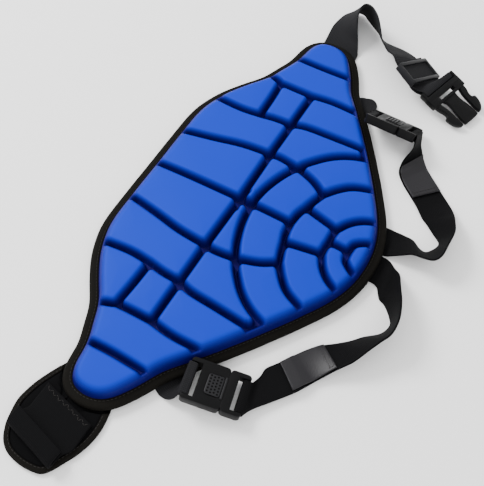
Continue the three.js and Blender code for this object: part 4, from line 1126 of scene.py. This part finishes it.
# %% [markdown]
# ## The side-release plug
#
# The plug at the end of the waist webbing has a slotted body, a broad tongue and a springy arm on each
# side, which bows in behind its hook where a thumb squeezes it. Arms and tongue are smooth plan shapes
# through a few corners. The body is rounded bars round the slot, so nothing has to be cut out.

# %% Plug

PLUG_ARM = np.array([
    (21.0, 1.0), (20.3, -5.0), (18.5, -11.0), (18.6, -15.0), (21.5, -17.0), (21.5, -22.0), (19.6, -28.0),
    (16.0, -32.5), (12.8, -33.5), (12.0, -27.0), (12.4, -20.0), (12.6, -12.0), (13.6, -5.0), (15.6, 1.0),
])
PLUG_TONGUE = np.array([
    (8.4, 1.0), (7.4, -5.0), (7.6, -11.0), (8.6, -17.0), (9.2, -23.0), (9.4, -31.0), (8.8, -34.5),
    (3.0, -35.0), (-3.0, -35.0), (-8.8, -34.5), (-9.4, -31.0), (-9.2, -23.0), (-8.6, -17.0), (-7.6, -11.0),
    (-7.4, -5.0), (-8.4, 1.0),
])
PLUG_STRETCH = np.array([1, 0.87])


def plan_shape(corners):
    """A function that gives a smooth closed shape through corners, anticlockwise, drawn in by a cut."""
    run = evened(corners * PLUG_STRETCH, 8, 96)
    run = run if area_of(run) > 0 else run[::-1]

    def drawn_in(cut):
        return inset(run, cut)

    return drawn_in


def edge_rows(low, high, soft):
    """Rows of a plate between two heights whose edges are drawn in by the soft radius."""
    under = [(soft, low), (0.3 * soft, low + 0.3 * soft), (0, low + soft)]
    return under + [(cut, low + high - height) for cut, height in under[::-1]]


def mirrored(x0, x1, *rest):
    """The two rounded boxes on both sides of the middle."""
    return [plan_box(x0, x1, *rest), plan_box(-x1, -x0, *rest)]


PLUG_PARTS = [
    (plan_box(-22.8, 22.8, 6.2, 12.4, 1.6), (0.2, 7.0, 0.9)),
    (plan_box(-22.8, 22.8, 0, 2.8, 1.2), (0.4, 6.8, 0.7)),
    (plan_box(-22.0, 22.0, 15.0, 19.0, 1.2), (2.2, 4.8, 0.7)),
    *((rail, (0.4, 6.8, 0.9)) for rail in mirrored(19.7, 22.8, 2.0, 19.0, 1.4)),
    *((cheek, (0.3, 6.9, 0.8)) for cheek in mirrored(10.5, 22.8, 0.6, 9.0, 1.4)),
    *((plan_shape(PLUG_ARM * [side, 1]), (1.2, 6.0, 0.8)) for side in (1, -1)),
    (plan_shape(PLUG_TONGUE), (1.6, 5.4, 0.8)),
]
plug = joined("waist_plug", [
    stacked("plug", plan, edge_rows(*edges), plug_axes, dark_plastic) for plan, edges in PLUG_PARTS
])
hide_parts("side_release_plug")
print("plug points", len(plug.data.vertices))

# %% [markdown]
# ## The slide on the waist webbing
#
# The slide is a small ladder of moulded plastic. Two outer bars lie over both layers of the webbing, a
# middle bar lies under them, and a rail on each side holds the three. It is built in axes read from the
# finished webbing, so it sits square on it wherever that goes.

# %% Slide

webbing_middle, webbing_side = strap_frames["waist_webbing"][:2]
slide_along = unit(webbing_middle[slide_seat + 12] - webbing_middle[slide_seat - 12])
slide_up = unit(np.cross(webbing_side[slide_seat], slide_along))
slide_up *= np.sign(slide_up[2])
slide_axes = (webbing_middle[slide_seat], np.cross(slide_along, slide_up), slide_along, slide_up)
SLIDE_PARTS = [
    (plan_box(-21.5, 21.5, 8.6, 12.4, 1.4), (3.5, 5.4, 0.7)),
    (plan_box(-21.5, 21.5, -12.4, -8.6, 1.4), (3.5, 5.4, 0.7)),
    (plan_box(-21.5, 21.5, -1.8, 1.8, 0.8), (-3.2, -1.4, 0.6)),
    *((rail, (-2.6, 5.0, 0.9)) for rail in mirrored(20.0, 22.4, -12.2, 12.2, 1.1)),
]
slide = joined("webbing_slide", [
    stacked("slide", plan, edge_rows(*edges), slide_axes, grey_plastic) for plan, edges in SLIDE_PARTS
])
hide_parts("tri_glide")
print("slide seat at station", slide_seat)

# %% [markdown]
# ## Floor, light and camera
#
# The photo is a studio cut-out from high up, lit from behind the upper left. A hard lamp would blacken the
# grooves. A pale floor, a bright surrounding, one large soft lamp behind and a fainter one opposite keep
# the shadows open and the upper left edges bright. The camera was fitted to the pad's outline.

# %% Floor, light and camera

floor_mesh = bpy.data.meshes.new("floor")
floor_mesh.from_pydata([(-3, -3, 0), (3, -3, 0), (3, 3, 0), (-3, 3, 0)], [], [(0, 1, 2, 3)])
floor = bpy.data.objects.new("floor", floor_mesh)
floor.location.z = -0.2 * MM
bpy.context.scene.collection.objects.link(floor)
floor_mesh.materials.append(new_material("pale_floor", screen(255, 255, 255), 0.9, specular=0.1))

world = bpy.data.worlds.new("studio")
bpy.context.scene.world = world
world.use_nodes = True
background = world.node_tree.nodes["Background"]
background.inputs["Color"].default_value = (1, 1, 1, 1)
background.inputs["Strength"].default_value = 1.4


def soft_lamp(name, place, size, power):
    """A square area lamp at a place, facing the middle of the scene."""
    data = bpy.data.lights.new(name, "AREA")
    data.size = size
    data.energy = power
    lamp = bpy.data.objects.new(name, data)
    lamp.location = place
    x, y, z = place
    lamp.rotation_euler = (math.atan2(math.hypot(x, y), z), 0, math.atan2(-y, -x) - math.pi / 2)
    bpy.context.scene.collection.objects.link(lamp)


soft_lamp("upper_left_lamp", (0.25, 1.5, 1.35), 0.75, 48)
soft_lamp("front_fill", (-0.9, -0.6, 0.9), 1.0, 5)

camera_data = bpy.data.cameras.new("photo_camera")
camera_data.lens = 62.96
camera_data.sensor_width = 36
camera = bpy.data.objects.new("photo_camera", camera_data)
camera.location = (-0.3703, -0.1778, 0.6240)
camera.rotation_euler = (math.radians(32.5), 0, math.radians(-59.85))
bpy.context.scene.collection.objects.link(camera)
bpy.context.scene.camera = camera
print("camera looks from", tuple(camera.location))
